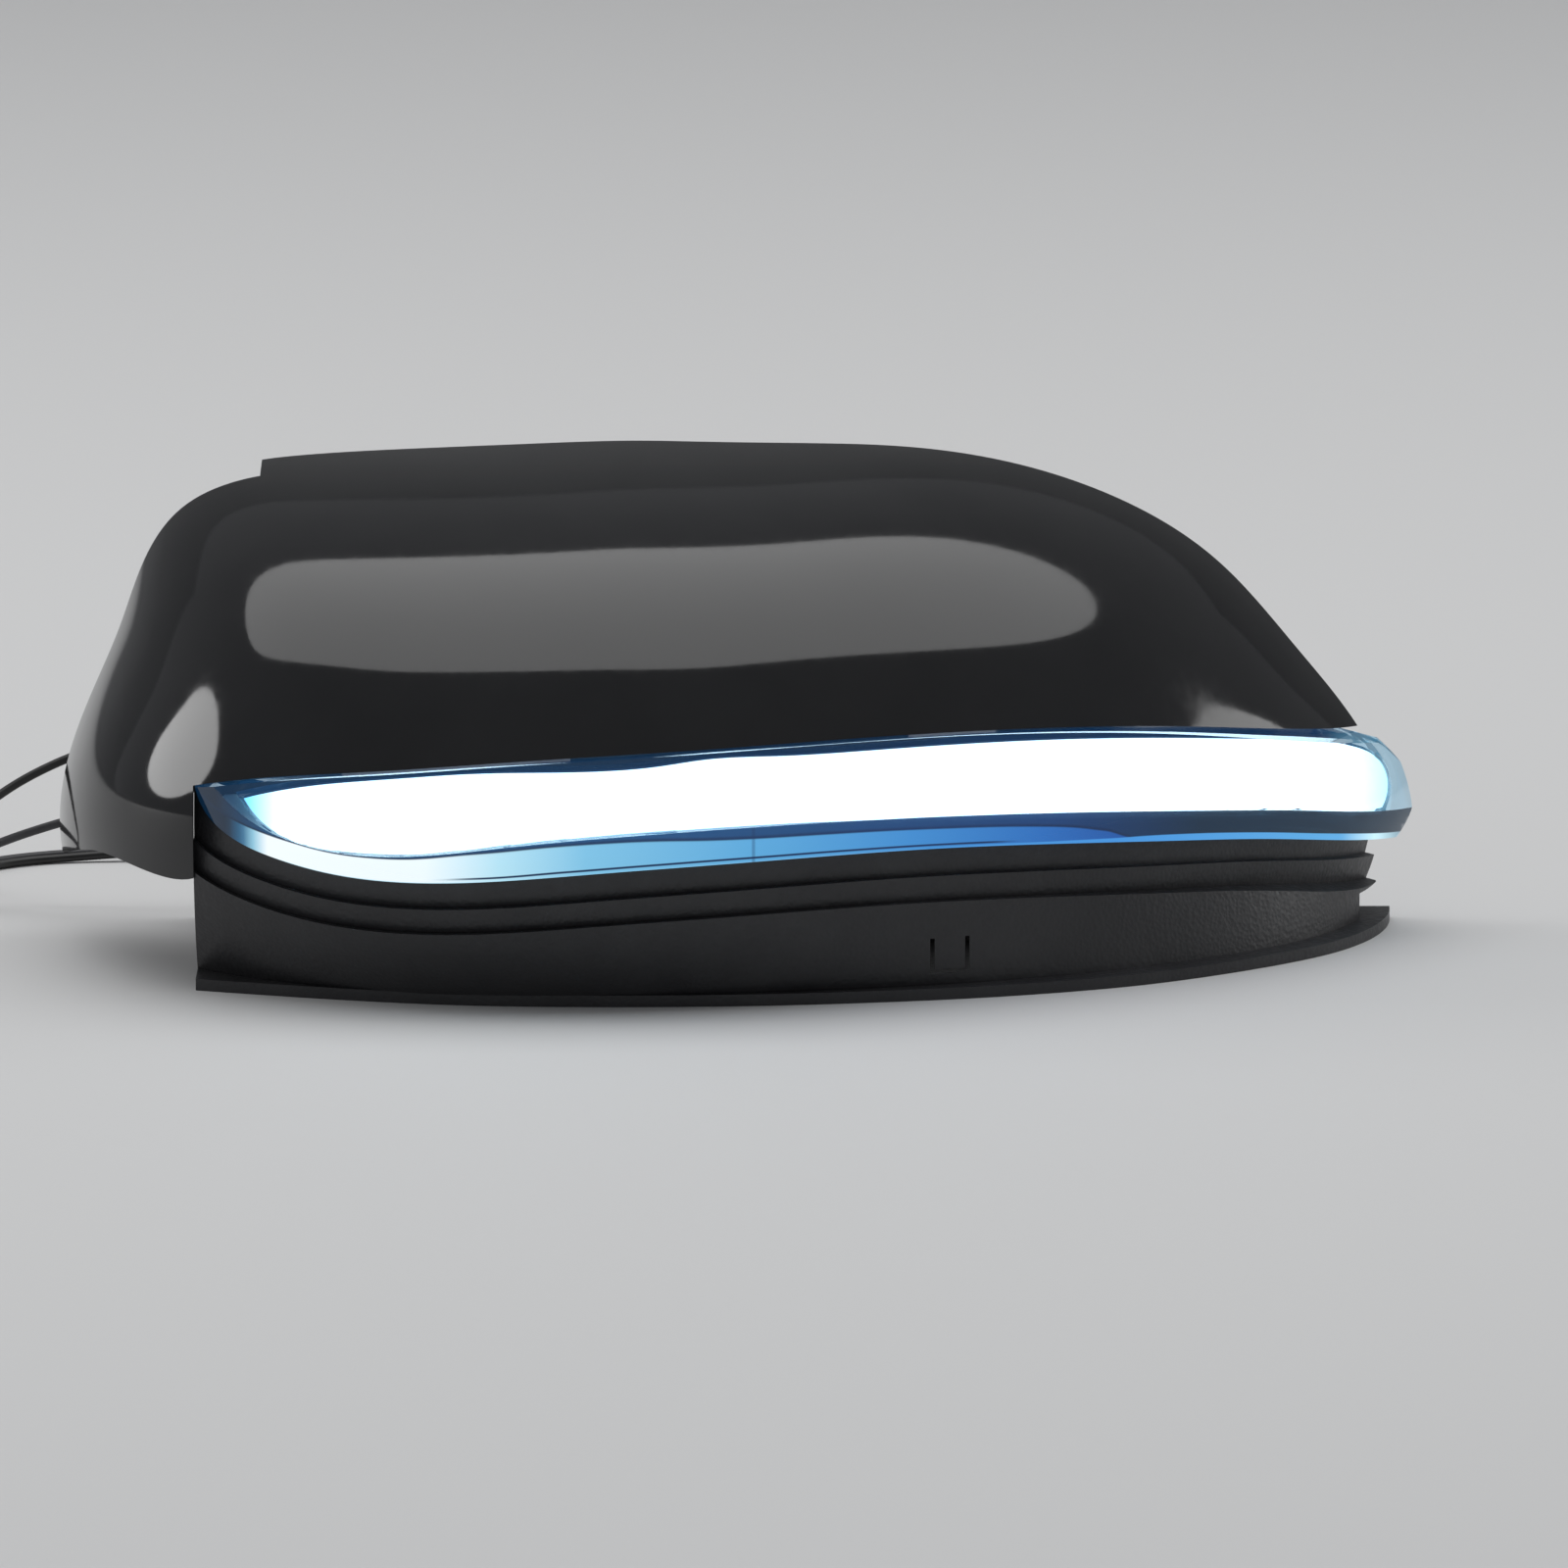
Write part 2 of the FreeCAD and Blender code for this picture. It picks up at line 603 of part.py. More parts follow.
def guide_region(name, amount):
    """The lit panel: under the lens top line, above the crease, round at its outboard end."""
    inner_crease = [spot for spot in crease_line if guide_edge[-1].x + 2 < spot.x < guide_edge[0].x - 4]
    top = grown(guide_edge, amount)
    top[0] += (top[0] - top[1]).normalize() * amount * 2
    top[-1] += (top[-1] - top[-2]).normalize() * amount * 2
    low = grown([guide_edge[-1]] + inner_crease + [guide_edge[0]], amount)
    low[0], low[-1] = top[-1], top[0]
    return extruded(name, [spline(top), spline(low)])


lens_region = common("lens_region", lamp_region("lens_sides", 0.0), end_region("lens_end_region"))
guide_zone = guide_region("guide_zone", -size("touch_gap"))
pocket_zone = guide_region("pocket_zone", size("fit_gap"))

lens_blank = skin_between("lens_blank", lens_outer, lens_inner, lens_region, lens_limit)
guide_pocket = skin_between("guide_pocket", pocket_outer, form("pocket_inner", even(seat)), pocket_zone,
                            pocket_limit)
flank_cut = shape_feature("flank_cut", flank_cutter())
lamp_lens = cut("lamp_lens", lens_blank, guide_pocket, flank_cut)
light_guide = skin_between("light_guide", guide_outer, lens_inner, guide_zone, guide_limit)


foam = skin_between("foam", form("foam_outer", even(seat)),
                    form("foam_inner", even(seat + size("gasket_depth"))),
                    lamp_region("foam_region", -size("touch_gap")), guide_limit)
lens_gasket = cut("lens_gasket", foam, lamp_region("foam_room", -size("gasket_width")))

tray_outer = form("tray_outer", even(seat))
tray_inner = form("tray_inner", even(size("lamp_depth")))
tray_back = form("tray_back", even(tray_floor))
tray_region = lamp_region("tray_region", tray_edge)
room_region = lamp_region("room_region", tray_room)
room_limit = in_front_of("room_limit", "sizes.lens_end - sizes.lens_rim - sizes.lamp_wall - sizes.fit_gap")
tray_block = skin_between("tray_block", tray_outer, tray_inner, tray_region, guide_limit)
tray_room_cut = cut("tray_room_cut", common("tray_room", lens_outer, room_region, room_limit), tray_back)


def post(name, across, height, inside, front_rule="0"):
    """A screw post along Y that reaches from the moulding it grows from to the front of the carrier web."""
    radius = "sizes.post_radius"
    start = f"{NOSE_RULE} + {front_rule}"
    length = f"sizes.web_depth - sizes.fit_gap - ({front_rule})"
    bar = rod(name + "_bar", radius, length, str(across), start, str(height))
    return common(name, bar, inside) if inside else bar


def post_bore(name, across, height):
    start = f"{NOSE_RULE} + sizes.web_depth - sizes.fit_gap - sizes.post_bore_depth"
    return rod(name, "sizes.screw_radius + sizes.touch_gap / 2", "sizes.post_bore_depth + sizes.fit_gap",
               str(across), start, str(height))


lamp_posts = [post(f"lamp_post_{number}", *place, form(f"lamp_post_{number}", even(size("lamp_depth") - 1)))
              for number, place in enumerate(LAMP_SCREWS, start=1)]
lamp_bores = [post_bore(f"lamp_bore_{number}", *place) for number, place in enumerate(LAMP_SCREWS, start=1)]
pad_form = form("pad", even(tray_floor + size("lamp_wall") / 2))
lead_pad = common("lead_pad", rod("lead_pad_bar", "sizes.lead_pad_radius", "sizes.lead_pad_depth",
                                  "sizes.lead_across",
                                  NOSE_RULE, "sizes.lead_height"), pad_form)
vent_pad = common("vent_pad", rod("vent_pad_bar", "sizes.vent_radius + 1", "sizes.vent_depth",
                                  "sizes.vent_across",
                                  NOSE_RULE, "sizes.vent_height"), pad_form)
lead_bore = rod("lead_bore", "sizes.sleeve_radius + sizes.fit_gap", "sizes.head_depth", "sizes.lead_across",
                NOSE_RULE, "sizes.lead_height")
vent_bore = rod("vent_bore", "sizes.vent_radius / 2", "sizes.head_depth", "sizes.vent_across",
                NOSE_RULE, "sizes.vent_height")

reflector_start = block("reflector_start", Length=str(FAR), Width=str(FAR), Height=str(FAR),
                        _at_x="sizes.reflector_start", _at_y=f"-{FAR / 2}", _at_z=f"-{FAR / 2}")
reflector_region = common("reflector_region", lamp_region("reflector_sides", tray_room - size("touch_gap")),
                          reflector_start)
sheet_front = seat + size("fit_gap")
reflector_blank = skin_between("reflector_blank", form("reflector_front", even(sheet_front)),
                               form("reflector_back", even(sheet_front + size("reflector_thick"))),
                               reflector_region, room_limit)


def board_height(across):
    """The middle of the lamp at this place across, halfway between its top and bottom lines."""
    edge = spline(lamp_chain(0.0)[:len(LAMP_TOP)]), spline(lamp_chain(0.0)[len(LAMP_TOP) + 1:])
    upright = Part.makeLine(Vector(across, 0, -FAR / 4), Vector(across, 0, FAR / 4))
    heights = [line.distToShape(upright)[1][0][0].z for line in edge]
    return sum(heights) / 2


def on_board(across, inset):
    return form_place(across, board_height(across), inset)


def board_band(name):
    """The outline of the circuit board: a band of even height along the middle of the lamp."""
    first = size("led_first") - size("board_end")
    step = (size("led_last") + size("board_end") - first) / BOARD_STEPS
    middle = [Vector(first + step * number, 0, board_height(first + step * number))
              for number in range(BOARD_STEPS + 1)]
    low = grown(middle, size("board_tall") / 2)
    high = grown(middle, -size("board_tall") / 2)
    ends = [Part.makeLine(low[-1], high[-1]), Part.makeLine(high[0], low[0])]
    return extruded(name, [spline(low), ends[0], spline(high), ends[1]])


board_blank = skin_between("board_blank", form("board_front", even(board_front)),
                           form("board_back", even(board_back)),
                           board_band("board_band"), room_limit)


def chip(name, width, tall, thick, across):
    """A small block that lies on the board with its back a touch gap in front of it."""
    point, normal = on_board(across, board_front - size("touch_gap"))
    solid = Part.makeBox(width, tall, thick, Vector(-width / 2, -tall / 2, 0))
    piece = shape_feature(name, solid)
    side = Vector(0, 0, 1).cross(normal).normalize()
    up = normal.cross(side)
    piece.Placement = Placement(point, Rotation(side, up, normal, "ZXY"))
    return piece


led_gap = (size("led_last") - size("led_first")) / (size("led_count") - 1)
led_places = [size("led_first") + led_gap * number for number in range(int(size("led_count")))]
leds = [chip(f"led_{number}", size("led_width"), size("led_tall"), size("led_thick"), place)
        for number, place in enumerate(led_places, start=1)]
led_chips = group("led_chips", *leds)
between_leds = [place + led_gap / 2 for place in led_places[:-1]]
screw_spots = between_leds[::4]
resistors = [chip(f"resistor_{number}", size("resistor_long"), size("resistor_tall"),
                  size("resistor_thick"), place)
             for number, place in enumerate(between_leds, start=1) if place not in screw_spots]
board_resistors = group("board_resistors", *resistors)


def normal_rod(name, radius, across, front, back):
    """A round bar square to the board, from one inset to another."""
    spot, normal = on_board(across, board_front)
    start = spot - normal * (back - board_front)
    return shape_feature(name, Part.makeCylinder(radius, back - front, start, normal))


windows = [normal_rod(f"led_window_{number}", size("led_window") / 2, place, 2.0, board_front - 1)
           for number, place in enumerate(led_places, start=1)]
reflector = cut("reflector", reflector_blank, *windows)

screw_room = [normal_rod(f"board_hole_{number}", size("board_screw_radius") + size("touch_gap"), place,
                         board_front - 1, size("lamp_depth") + 3) for number,
              place in enumerate(screw_spots, start=1)]
screw_post = [normal_rod(f"board_post_{number}", size("board_screw_head") + 1, place, tray_floor,
                         size("lamp_depth") + 2) for number, place in enumerate(screw_spots, start=1)]
led_board = cut("led_board", board_blank, *screw_room)
lamp_body = fuse("lamp_body", cut("tray", tray_block, tray_room_cut), *lamp_posts, lead_pad, vent_pad,
                 *screw_post)
lamp_housing = cut("lamp_housing", lamp_body, lead_bore, vent_bore, *lamp_bores, *screw_room)

board_screw = turned("board_screw", (
    ("0", "-sizes.board_screw_long"), ("sizes.board_screw_radius", "-sizes.board_screw_long"),
    ("sizes.board_screw_radius", "0"), ("sizes.board_screw_head", "0"),
    ("sizes.board_screw_head", "sizes.board_screw_tall"), ("0", "sizes.board_screw_tall * 1.3")))
doc.recompute()
board_screw_set = []
for number, place in enumerate(screw_spots, start=1):
    point, normal = on_board(place, board_front - size("touch_gap"))
    board_screw_set.append(placed(f"board_screw_{number}", board_screw, point, normal))
board_screws = group("board_screws", *board_screw_set)

# The mirror cap and the lower housing.

cap_region = above_lamp("cap_region", size("joint_gap"))
arm_notch = block("arm_notch", Length=str(FAR), Width=str(FAR), Height=str(FAR),
                  _at_x=f"sizes.notch_across - {FAR}",
                  _at_y=RIM_RULE + " - sizes.notch_depth", _at_z=f"-{FAR / 2}")
cap_inner = form("cap_inner", even(size("cap_wall")))
cap_shell = skin_between("cap_shell", outer_form, cap_inner, cap_region)
cap_post_form = form("cap_post", even(size("cap_wall") / 2))
cap_posts = [post(f"cap_post_{number}", *place, cap_post_form) for number,
             place in enumerate(CAP_SCREWS, start=1)]
cap_bores = [post_bore(f"cap_bore_{number}", *place) for number, place in enumerate(CAP_SCREWS, start=1)]
mirror_cap = cut("mirror_cap", fuse("cap_body", cap_shell, *cap_posts), arm_notch, *cap_bores)

above_base = block("above_base", Length=str(FAR), Width=str(FAR), Height=str(FAR), _at_x="sizes.arm_side",
                   _at_y=f"-{FAR / 2}", _at_z="0")
above_floor = block("above_floor", Length=str(FAR), Width=str(FAR), Height=str(FAR),
                    _at_x="sizes.arm_side + sizes.housing_wall", _at_y=f"-{FAR / 2}",
                    _at_z="sizes.floor_thick")


def end_zone(name, wall):
    """Everything inboard of the stepped outboard end of the housing, inside of a wall."""
    upper = block(name + "_upper", Length=str(FAR), Width=str(FAR), Height=str(FAR), _at_y=f"-{FAR / 2}",
                  _at_x=f"sizes.housing_end - {wall} - {FAR}", _at_z=f"sizes.foot_end_height + {wall}")
    lower = block(name + "_lower", Length=str(FAR), Width=str(FAR), Height=str(2 * FAR), _at_y=f"-{FAR / 2}",
                  _at_x=f"sizes.foot_end - {wall} - {FAR}", _at_z=str(-FAR))
    return fuse(name, upper, lower)


zones = [below_lamp(f"ledge_zone_{number}", size("joint_gap") + drop)
         for number, drop in enumerate((0.0, size("ledge_one_drop"), size("ledge_two_drop")), start=1)]
band_rules = (even(size("ledge_one_inset")), even(size("ledge_two_inset")), footed(size("housing_inset")))
bands = [common(f"band_{number}", form(f"band_{number}", rule), zone)
         for number, (rule, zone) in enumerate(zip(band_rules, zones), start=1)]
base_points = [Vector(across, at_depth(depth), 0) for across, depth in BASE_EDGE]
base_corners = [base_points[-1], Vector(base_points[-1].x, RIM_Y, 0), Vector(base_points[0].x, RIM_Y, 0),
                base_points[0]]
base_plate = bind(raised("base_plate", [spline(base_points)] + polygon_edges(base_corners), Vector(0, 0, 1)),
                  LengthFwd="sizes.base_lip_height")
housing_bands = common("housing_bands", fuse("all_bands", *bands), end_zone("housing_end_zone", "0"),
                       above_base)
housing_blank = fuse("housing_blank", housing_bands, base_plate)
cavity_form = form("cavity", even(size("ledge_one_inset") + size("housing_wall")))
deep_form = form("deep_cavity", footed(size("housing_inset") + size("housing_wall")))
deep_zone = below_lamp("deep_zone", size("joint_gap") + size("ledge_two_drop") + size("housing_wall"))
cavity = common("cavity", fuse("cavity_steps", cavity_form, common("deep_cavity", deep_form, deep_zone)),
                end_zone("cavity_end_zone", "sizes.housing_wall"), above_floor)
shelf_top = below_lamp("shelf_top", size("joint_gap"))
shelf_low = below_lamp("shelf_low", size("joint_gap") + size("shelf_thick"))
shelf = cut("shelf", common("shelf_blank", cut("shelf_wall", bands[0], tray_inner), shelf_top, housing_bands),
            shelf_low)


def floor_post(number, across, height):
    bar = post(f"floor_post_{number}", across, height, None,
               "sizes.web_depth - sizes.fit_gap - sizes.housing_post_long")
    rib = block(f"floor_rib_{number}", Length="sizes.housing_wall", Width="sizes.housing_post_long",
                Height=f"{height} - sizes.floor_thick / 2", _at_x=f"{across} - sizes.housing_wall / 2",
                _at_y=f"{NOSE_RULE} + sizes.web_depth - sizes.fit_gap - sizes.housing_post_long",
                _at_z="sizes.floor_thick / 2")
    return fuse(f"floor_stand_{number}", bar, rib)


floor_posts = [floor_post(number, *place) for number, place in enumerate(HOUSING_SCREWS, start=1)]
floor_bores = [post_bore(f"floor_bore_{number}", *place) for number,
               place in enumerate(HOUSING_SCREWS, start=1)]
latch_slots = [block(f"latch_slot_{number}", Length=length, Width="sizes.latch_reach", Height=height,
                     _at_x=across, _at_y=NOSE_RULE, _at_z=low)
               for number, (across, length, low, height) in enumerate((
                   ("sizes.latch_across", "sizes.latch_slot", "sizes.latch_low", "sizes.latch_tall"),
                   ("sizes.latch_across + sizes.latch_wide - sizes.latch_slot", "sizes.latch_slot",
                    "sizes.latch_low", "sizes.latch_tall"),
                   ("sizes.latch_across", "sizes.latch_wide", "sizes.latch_low", "sizes.latch_slot")),
                                                                      start=1)]
drains = [doc.addObject("Part::Cylinder", f"drain_{number}") for number in (1, 2)]
for drain, across in zip(drains, DRAINS):
    bind(drain, Radius="sizes.drain_radius", Height="sizes.floor_thick * 3", _at_x=str(across),
         _at_y=f"{NOSE_RULE} + sizes.drain_depth", _at_z="-sizes.floor_thick")
housing_shell = cut("housing_shell", housing_blank, cavity)
lower_housing = cut("lower_housing", fuse("housing_body", housing_shell, shelf, *floor_posts),
                    *floor_bores, *latch_slots, *drains)

# The carrier frame inside the rear of the housing.

frame_outer = form("frame_outer", even(size("frame_inset")))
frame_inner = form("frame_inner", even(size("frame_inset") + size("frame_wall")))
seat_outer = form("seat_outer", even(size("cap_wall") + size("fit_gap")))
web_slab = block("web_slab", Length=str(FAR), Width="sizes.web_thick", Height=str(FAR), _at_x=f"-{FAR / 2}",
                 _at_y=f"{NOSE_RULE} + sizes.web_depth", _at_z="sizes.floor_thick + sizes.fit_gap")
frame_slab = block("frame_slab", Length=str(FAR),
                   Width="sizes.head_depth - sizes.web_depth - sizes.frame_short",
                   Height=str(FAR), _at_x=f"-{FAR / 2}", _at_y=f"{NOSE_RULE} + sizes.web_depth",
                   _at_z="sizes.floor_thick + sizes.fit_gap")
rib_slab = block("rib_slab", Length=str(FAR), Width="sizes.seat_rib_thick", Height=str(FAR),
                 _at_x=f"-{FAR / 2}",
                 _at_y=f"{NOSE_RULE} + sizes.seat_rib_depth", _at_z="sizes.floor_thick + sizes.fit_gap")
notch_rib_slab = block("notch_rib_slab", Length=f"{FAR / 2} + sizes.notch_across",
                       Width="sizes.seat_rib_thick",
                       Height=str(FAR), _at_x=f"-{FAR / 2}", _at_z="sizes.floor_thick + sizes.fit_gap",
                       _at_y=f"{NOSE_RULE} + sizes.head_depth - sizes.notch_depth - 2 * sizes.seat_rib_thick")
web = common("web", frame_outer, web_slab)
rim_wall = common("rim_wall", cut("rim_ring", frame_outer, frame_inner), frame_slab)
rib_region = above_lamp("rib_region", size("joint_gap") + size("shelf_thick"))
seat_rib = common("seat_rib", cut("seat_ring", seat_outer, frame_inner), rib_region,
                  fuse("rib_slabs", rib_slab, notch_rib_slab))
lamp_clear = size("joint_gap") + size("shelf_thick") + size("fit_gap")
lamp_room = cut("lamp_room", lamp_region("lamp_clear_region", lamp_clear),
                form("lamp_clear", even(size("lamp_depth") + size("fit_gap"))))
arm_opening = block("arm_opening", Length=str(FAR), Width=str(FAR), Height="sizes.arm_opening_tall",
                    _at_x=f"sizes.arm_side + sizes.housing_wall + sizes.fit_gap - {FAR}",
                    _at_y=f"-{FAR / 2}", _at_z="0")
drive_angles = [math.radians(90 + 120 * number) for number in range(3)]
drive_rules = [(f"sizes.drive_across + sizes.drive_circle * {math.cos(angle):.6f}",
                f"sizes.drive_height + sizes.drive_circle * {math.sin(angle):.6f}") for angle in drive_angles]
web_back = f"{NOSE_RULE} + sizes.web_depth + sizes.web_thick / 2"
bosses = [rod(f"drive_boss_{number}", "sizes.drive_boss_radius",
              "sizes.drive_boss_long + sizes.web_thick / 2",
              across, web_back, height) for number, (across, height) in enumerate(drive_rules, start=1)]
boss_bores = [rod(f"drive_bore_{number}", "sizes.drive_bore", "sizes.head_depth", across, NOSE_RULE, height)
              for number, (across, height) in enumerate(drive_rules, start=1)]
screw_places = CAP_SCREWS + LAMP_SCREWS + HOUSING_SCREWS
web_holes = [rod(f"web_hole_{number}", "sizes.screw_radius + sizes.fit_gap", "sizes.head_depth", str(across),
                 f"{NOSE_RULE} + sizes.web_depth - sizes.web_thick", str(height))
             for number, (across, height) in enumerate(screw_places, start=1)]
lead_hole = rod("lead_hole", "sizes.web_hole_radius", "sizes.head_depth", "sizes.lead_across",
                f"{NOSE_RULE} + sizes.web_depth - sizes.web_thick", "sizes.lead_height")
web_windows = [round_window(f"web_window_{number}", *corners, size("window_radius"))
               for number, corners in enumerate(WINDOWS, start=1)]
window_cut = [common(f"window_cut_{number}", window, web_slab) for number,
              window in enumerate(web_windows, start=1)]


def web_rib(number, left, low, width, tall):
    """A stiffening rib on the back of the web."""
    return block(f"web_rib_{number}", Length=str(width), Height=str(tall), Width="sizes.web_rib_deep",
                 _at_x=str(left),
                 _at_y=web_back, _at_z=str(low))


web_ribs = common("web_ribs", fuse("ribs", *[web_rib(number, *rib) for number,
                                             rib in enumerate(RIBS, start=1)]),
                  frame_outer)
frame_body = fuse("frame_body", web, rim_wall, seat_rib, web_ribs, *bosses)
frame_blank = cut("frame_blank", frame_body, lamp_room, arm_opening, arm_notch, lead_hole, *window_cut,
                  *web_holes,
                  *boss_bores)

# Screws of the mouldings, driven from the rear through the web.

screw = turned("screw", (
    ("0", "-sizes.screw_length"), ("sizes.screw_radius", "-sizes.screw_length"), ("sizes.screw_radius", "0"),
    ("sizes.screw_head_radius", "0"), ("sizes.screw_head_radius", "sizes.screw_head_tall * 0.5"),
    ("sizes.screw_head_radius * 0.7", "sizes.screw_head_tall"), ("0", "sizes.screw_head_tall")))
recess_bars = [block(f"recess_{number}", Length=length, Width=width, Height="sizes.recess_deep",
                     _at_x=f"-{length} / 2", _at_y=f"-{width} / 2",
                     _at_z="sizes.screw_head_tall - sizes.recess_deep")
               for number, (length, width) in enumerate((("sizes.recess_long", "sizes.recess_wide"),
                                                         ("sizes.recess_wide", "sizes.recess_long")),
                                                        start=1)]
moulding_screw = cut("moulding_screw", screw, *recess_bars)
doc.recompute()


def screw_set(name, places):
    head_y = at_depth(size("web_depth") + size("web_thick") + size("touch_gap"))
    return group(name, *[placed(f"{name}_{number}", moulding_screw, Vector(across, head_y, height), BACKWARDS)
                         for number, (across, height) in enumerate(places, start=1)])


cap_screws = screw_set("cap_screws", CAP_SCREWS)
lamp_screws = screw_set("lamp_screws", LAMP_SCREWS)
housing_screws = screw_set("housing_screws", HOUSING_SCREWS)

# The breather, grommets, lead sleeve and saddle.

vent = turned("vent", (
    ("0", "0"), ("sizes.vent_radius / 2 - sizes.touch_gap", "0"),
    ("sizes.vent_radius / 2 - sizes.touch_gap", "sizes.vent_tall"), ("sizes.vent_radius", "sizes.vent_tall"),
    ("sizes.vent_radius", "sizes.vent_tall * 1.6"), ("sizes.vent_radius * 0.8", "sizes.vent_tall * 2"),
    ("0", "sizes.vent_tall * 2")))
grommet = turned("grommet", (
    ("sizes.sleeve_radius + sizes.touch_gap", "0"), ("sizes.grommet_radius", "0"),
    ("sizes.grommet_radius", "sizes.grommet_long * 0.3"),
                             ("sizes.grommet_radius * 0.7", "sizes.grommet_long * 0.35"),
    ("sizes.sleeve_radius * 1.4", "sizes.grommet_long"),
                             ("sizes.sleeve_radius + sizes.touch_gap", "sizes.grommet_long")))
hole_ring = turned("hole_ring", (
    ("sizes.sleeve_radius + sizes.touch_gap", "-sizes.web_thick"),
                                 ("sizes.web_grommet_radius", "-sizes.web_thick"),
    ("sizes.web_grommet_radius", "-sizes.touch_gap"),
                                 ("sizes.web_hole_radius - sizes.touch_gap", "-sizes.touch_gap"),
    ("sizes.web_hole_radius - sizes.touch_gap", "sizes.web_thick + sizes.touch_gap"),
    ("sizes.web_grommet_radius", "sizes.web_thick + sizes.touch_gap"),
    ("sizes.web_grommet_radius", "sizes.web_grommet_long"),
    ("sizes.sleeve_radius + sizes.touch_gap", "sizes.web_grommet_long")))
doc.recompute()
lead_spot = Vector(size("lead_across"), 0, size("lead_height"))
vent_plug = placed("vent_plug", vent, Vector(size("vent_across"),
                                             at_depth(size("vent_depth") - size("vent_tall")
                                             + size("touch_gap")), size("vent_height")), BACKWARDS)
lead_grommet = placed("lead_grommet", grommet, lead_spot + Vector(0, at_depth(size("lead_pad_depth")
                                                                 + size("touch_gap")), 0), BACKWARDS)
web_grommet = placed("web_grommet", hole_ring, lead_spot + Vector(0, at_depth(size("web_depth")), 0),
                     BACKWARDS)

sleeve_start = size("lead_pad_depth") - size("sleeve_inside")
lead_sleeve = rod("lead_sleeve", "sizes.sleeve_radius", f"sizes.sleeve_end_depth - {sleeve_start}",
                  "sizes.lead_across", f"{NOSE_RULE} + {sleeve_start}", "sizes.lead_height")
foot_start = "sizes.web_grommet_radius + sizes.fit_gap * 2"
clear_of_ring = "sizes.web_grommet_long - sizes.web_thick + sizes.fit_gap"
saddle_body = padded("saddle_body", "XY_Plane", (
    (foot_start, "0"), (f"{foot_start} + sizes.saddle_foot", "0"),
    (f"{foot_start} + sizes.saddle_foot", "sizes.saddle_thick"),
    (f"{foot_start} + sizes.saddle_thick", "sizes.saddle_thick"),
    (f"{foot_start} + sizes.saddle_thick", "sizes.saddle_long + sizes.saddle_thick"),
    ("-sizes.saddle_wide / 2", "sizes.saddle_long + sizes.saddle_thick"),
    ("-sizes.saddle_wide / 2", clear_of_ring), (foot_start, clear_of_ring)), "sizes.saddle_wide")
clip_screw = turned("clip_screw", (
    ("0", "-sizes.clip_screw_long"), ("sizes.clip_screw_radius", "-sizes.clip_screw_long"),
    ("sizes.clip_screw_radius", "0"), ("sizes.clip_screw_radius * 2", "0"),
    ("sizes.clip_screw_radius * 2", "sizes.clip_screw_radius"), ("0", "sizes.clip_screw_radius * 1.3")))
doc.recompute()
saddle_back = size("web_depth") + size("web_thick") + size("touch_gap")
clip_across = size("lead_across") + size("web_grommet_radius") + size("fit_gap") * 2 + size("saddle_thick") + (
    size("saddle_foot") - size("saddle_thick")) / 2 + size("touch_gap") * 2
saddle_block = shape_feature("saddle_block", saddle_body.Shape)
saddle_block.Placement = Placement(Vector(size("lead_across"), at_depth(saddle_back),
                                          size("lead_height") - size("saddle_wide") / 2), Rotation())
saddle_bore = rod("saddle_bore", "sizes.sleeve_radius + sizes.touch_gap", "sizes.head_depth",
                  "sizes.lead_across",
                  NOSE_RULE, "sizes.lead_height")
clip_bore = rod("clip_bore", "sizes.clip_screw_radius + sizes.touch_gap", "sizes.head_depth",
                str(clip_across),
                f"{NOSE_RULE} + sizes.web_depth - sizes.web_thick", "sizes.lead_height")
lead_saddle = cut("lead_saddle", saddle_block, saddle_bore, clip_bore)
saddle_screw = placed("saddle_screw", clip_screw, Vector(
    clip_across, at_depth(saddle_back + size("saddle_thick") + size("touch_gap")), size("lead_height")),
                      BACKWARDS)
inner_frame = cut("inner_frame", frame_blank, clip_bore)

# The two single wires and their plug. The points of each route are across, depth and height.

UPPER_ROUTE = ((-78.8, 77.1, 34.4), (-79.2, 87.0, 34.6), (-90.8, 95.5, 34.2), (-105.8, 97.0, 32.4),
               (-120.3, 96.0, 29.4), (-135.8, 97.0, 21.0), (-146.3, 104.0, 8.5), (-146.8, 120.0, 0.9),
               (-136.8, 136.0, 0.9), (-118.8, 142.8, 0.9), (-97.0, 141.7, 3.0))
LOWER_ROUTE = ((-78.8, 77.1, 32.6), (-79.1, 86.0, 32.0), (-86.8, 93.0, 27.5), (-102.8, 95.0, 21.5),
               (-119.8, 95.5, 17.6), (-136.8, 98.5, 11.5), (-148.8, 109.0, 3.0), (-147.8, 127.0, 0.9),
               (-133.8, 141.5, 0.9), (-116.3, 147.0, 0.9), (-97.0, 145.3, 3.0))
BEND_SHARE = 0.45


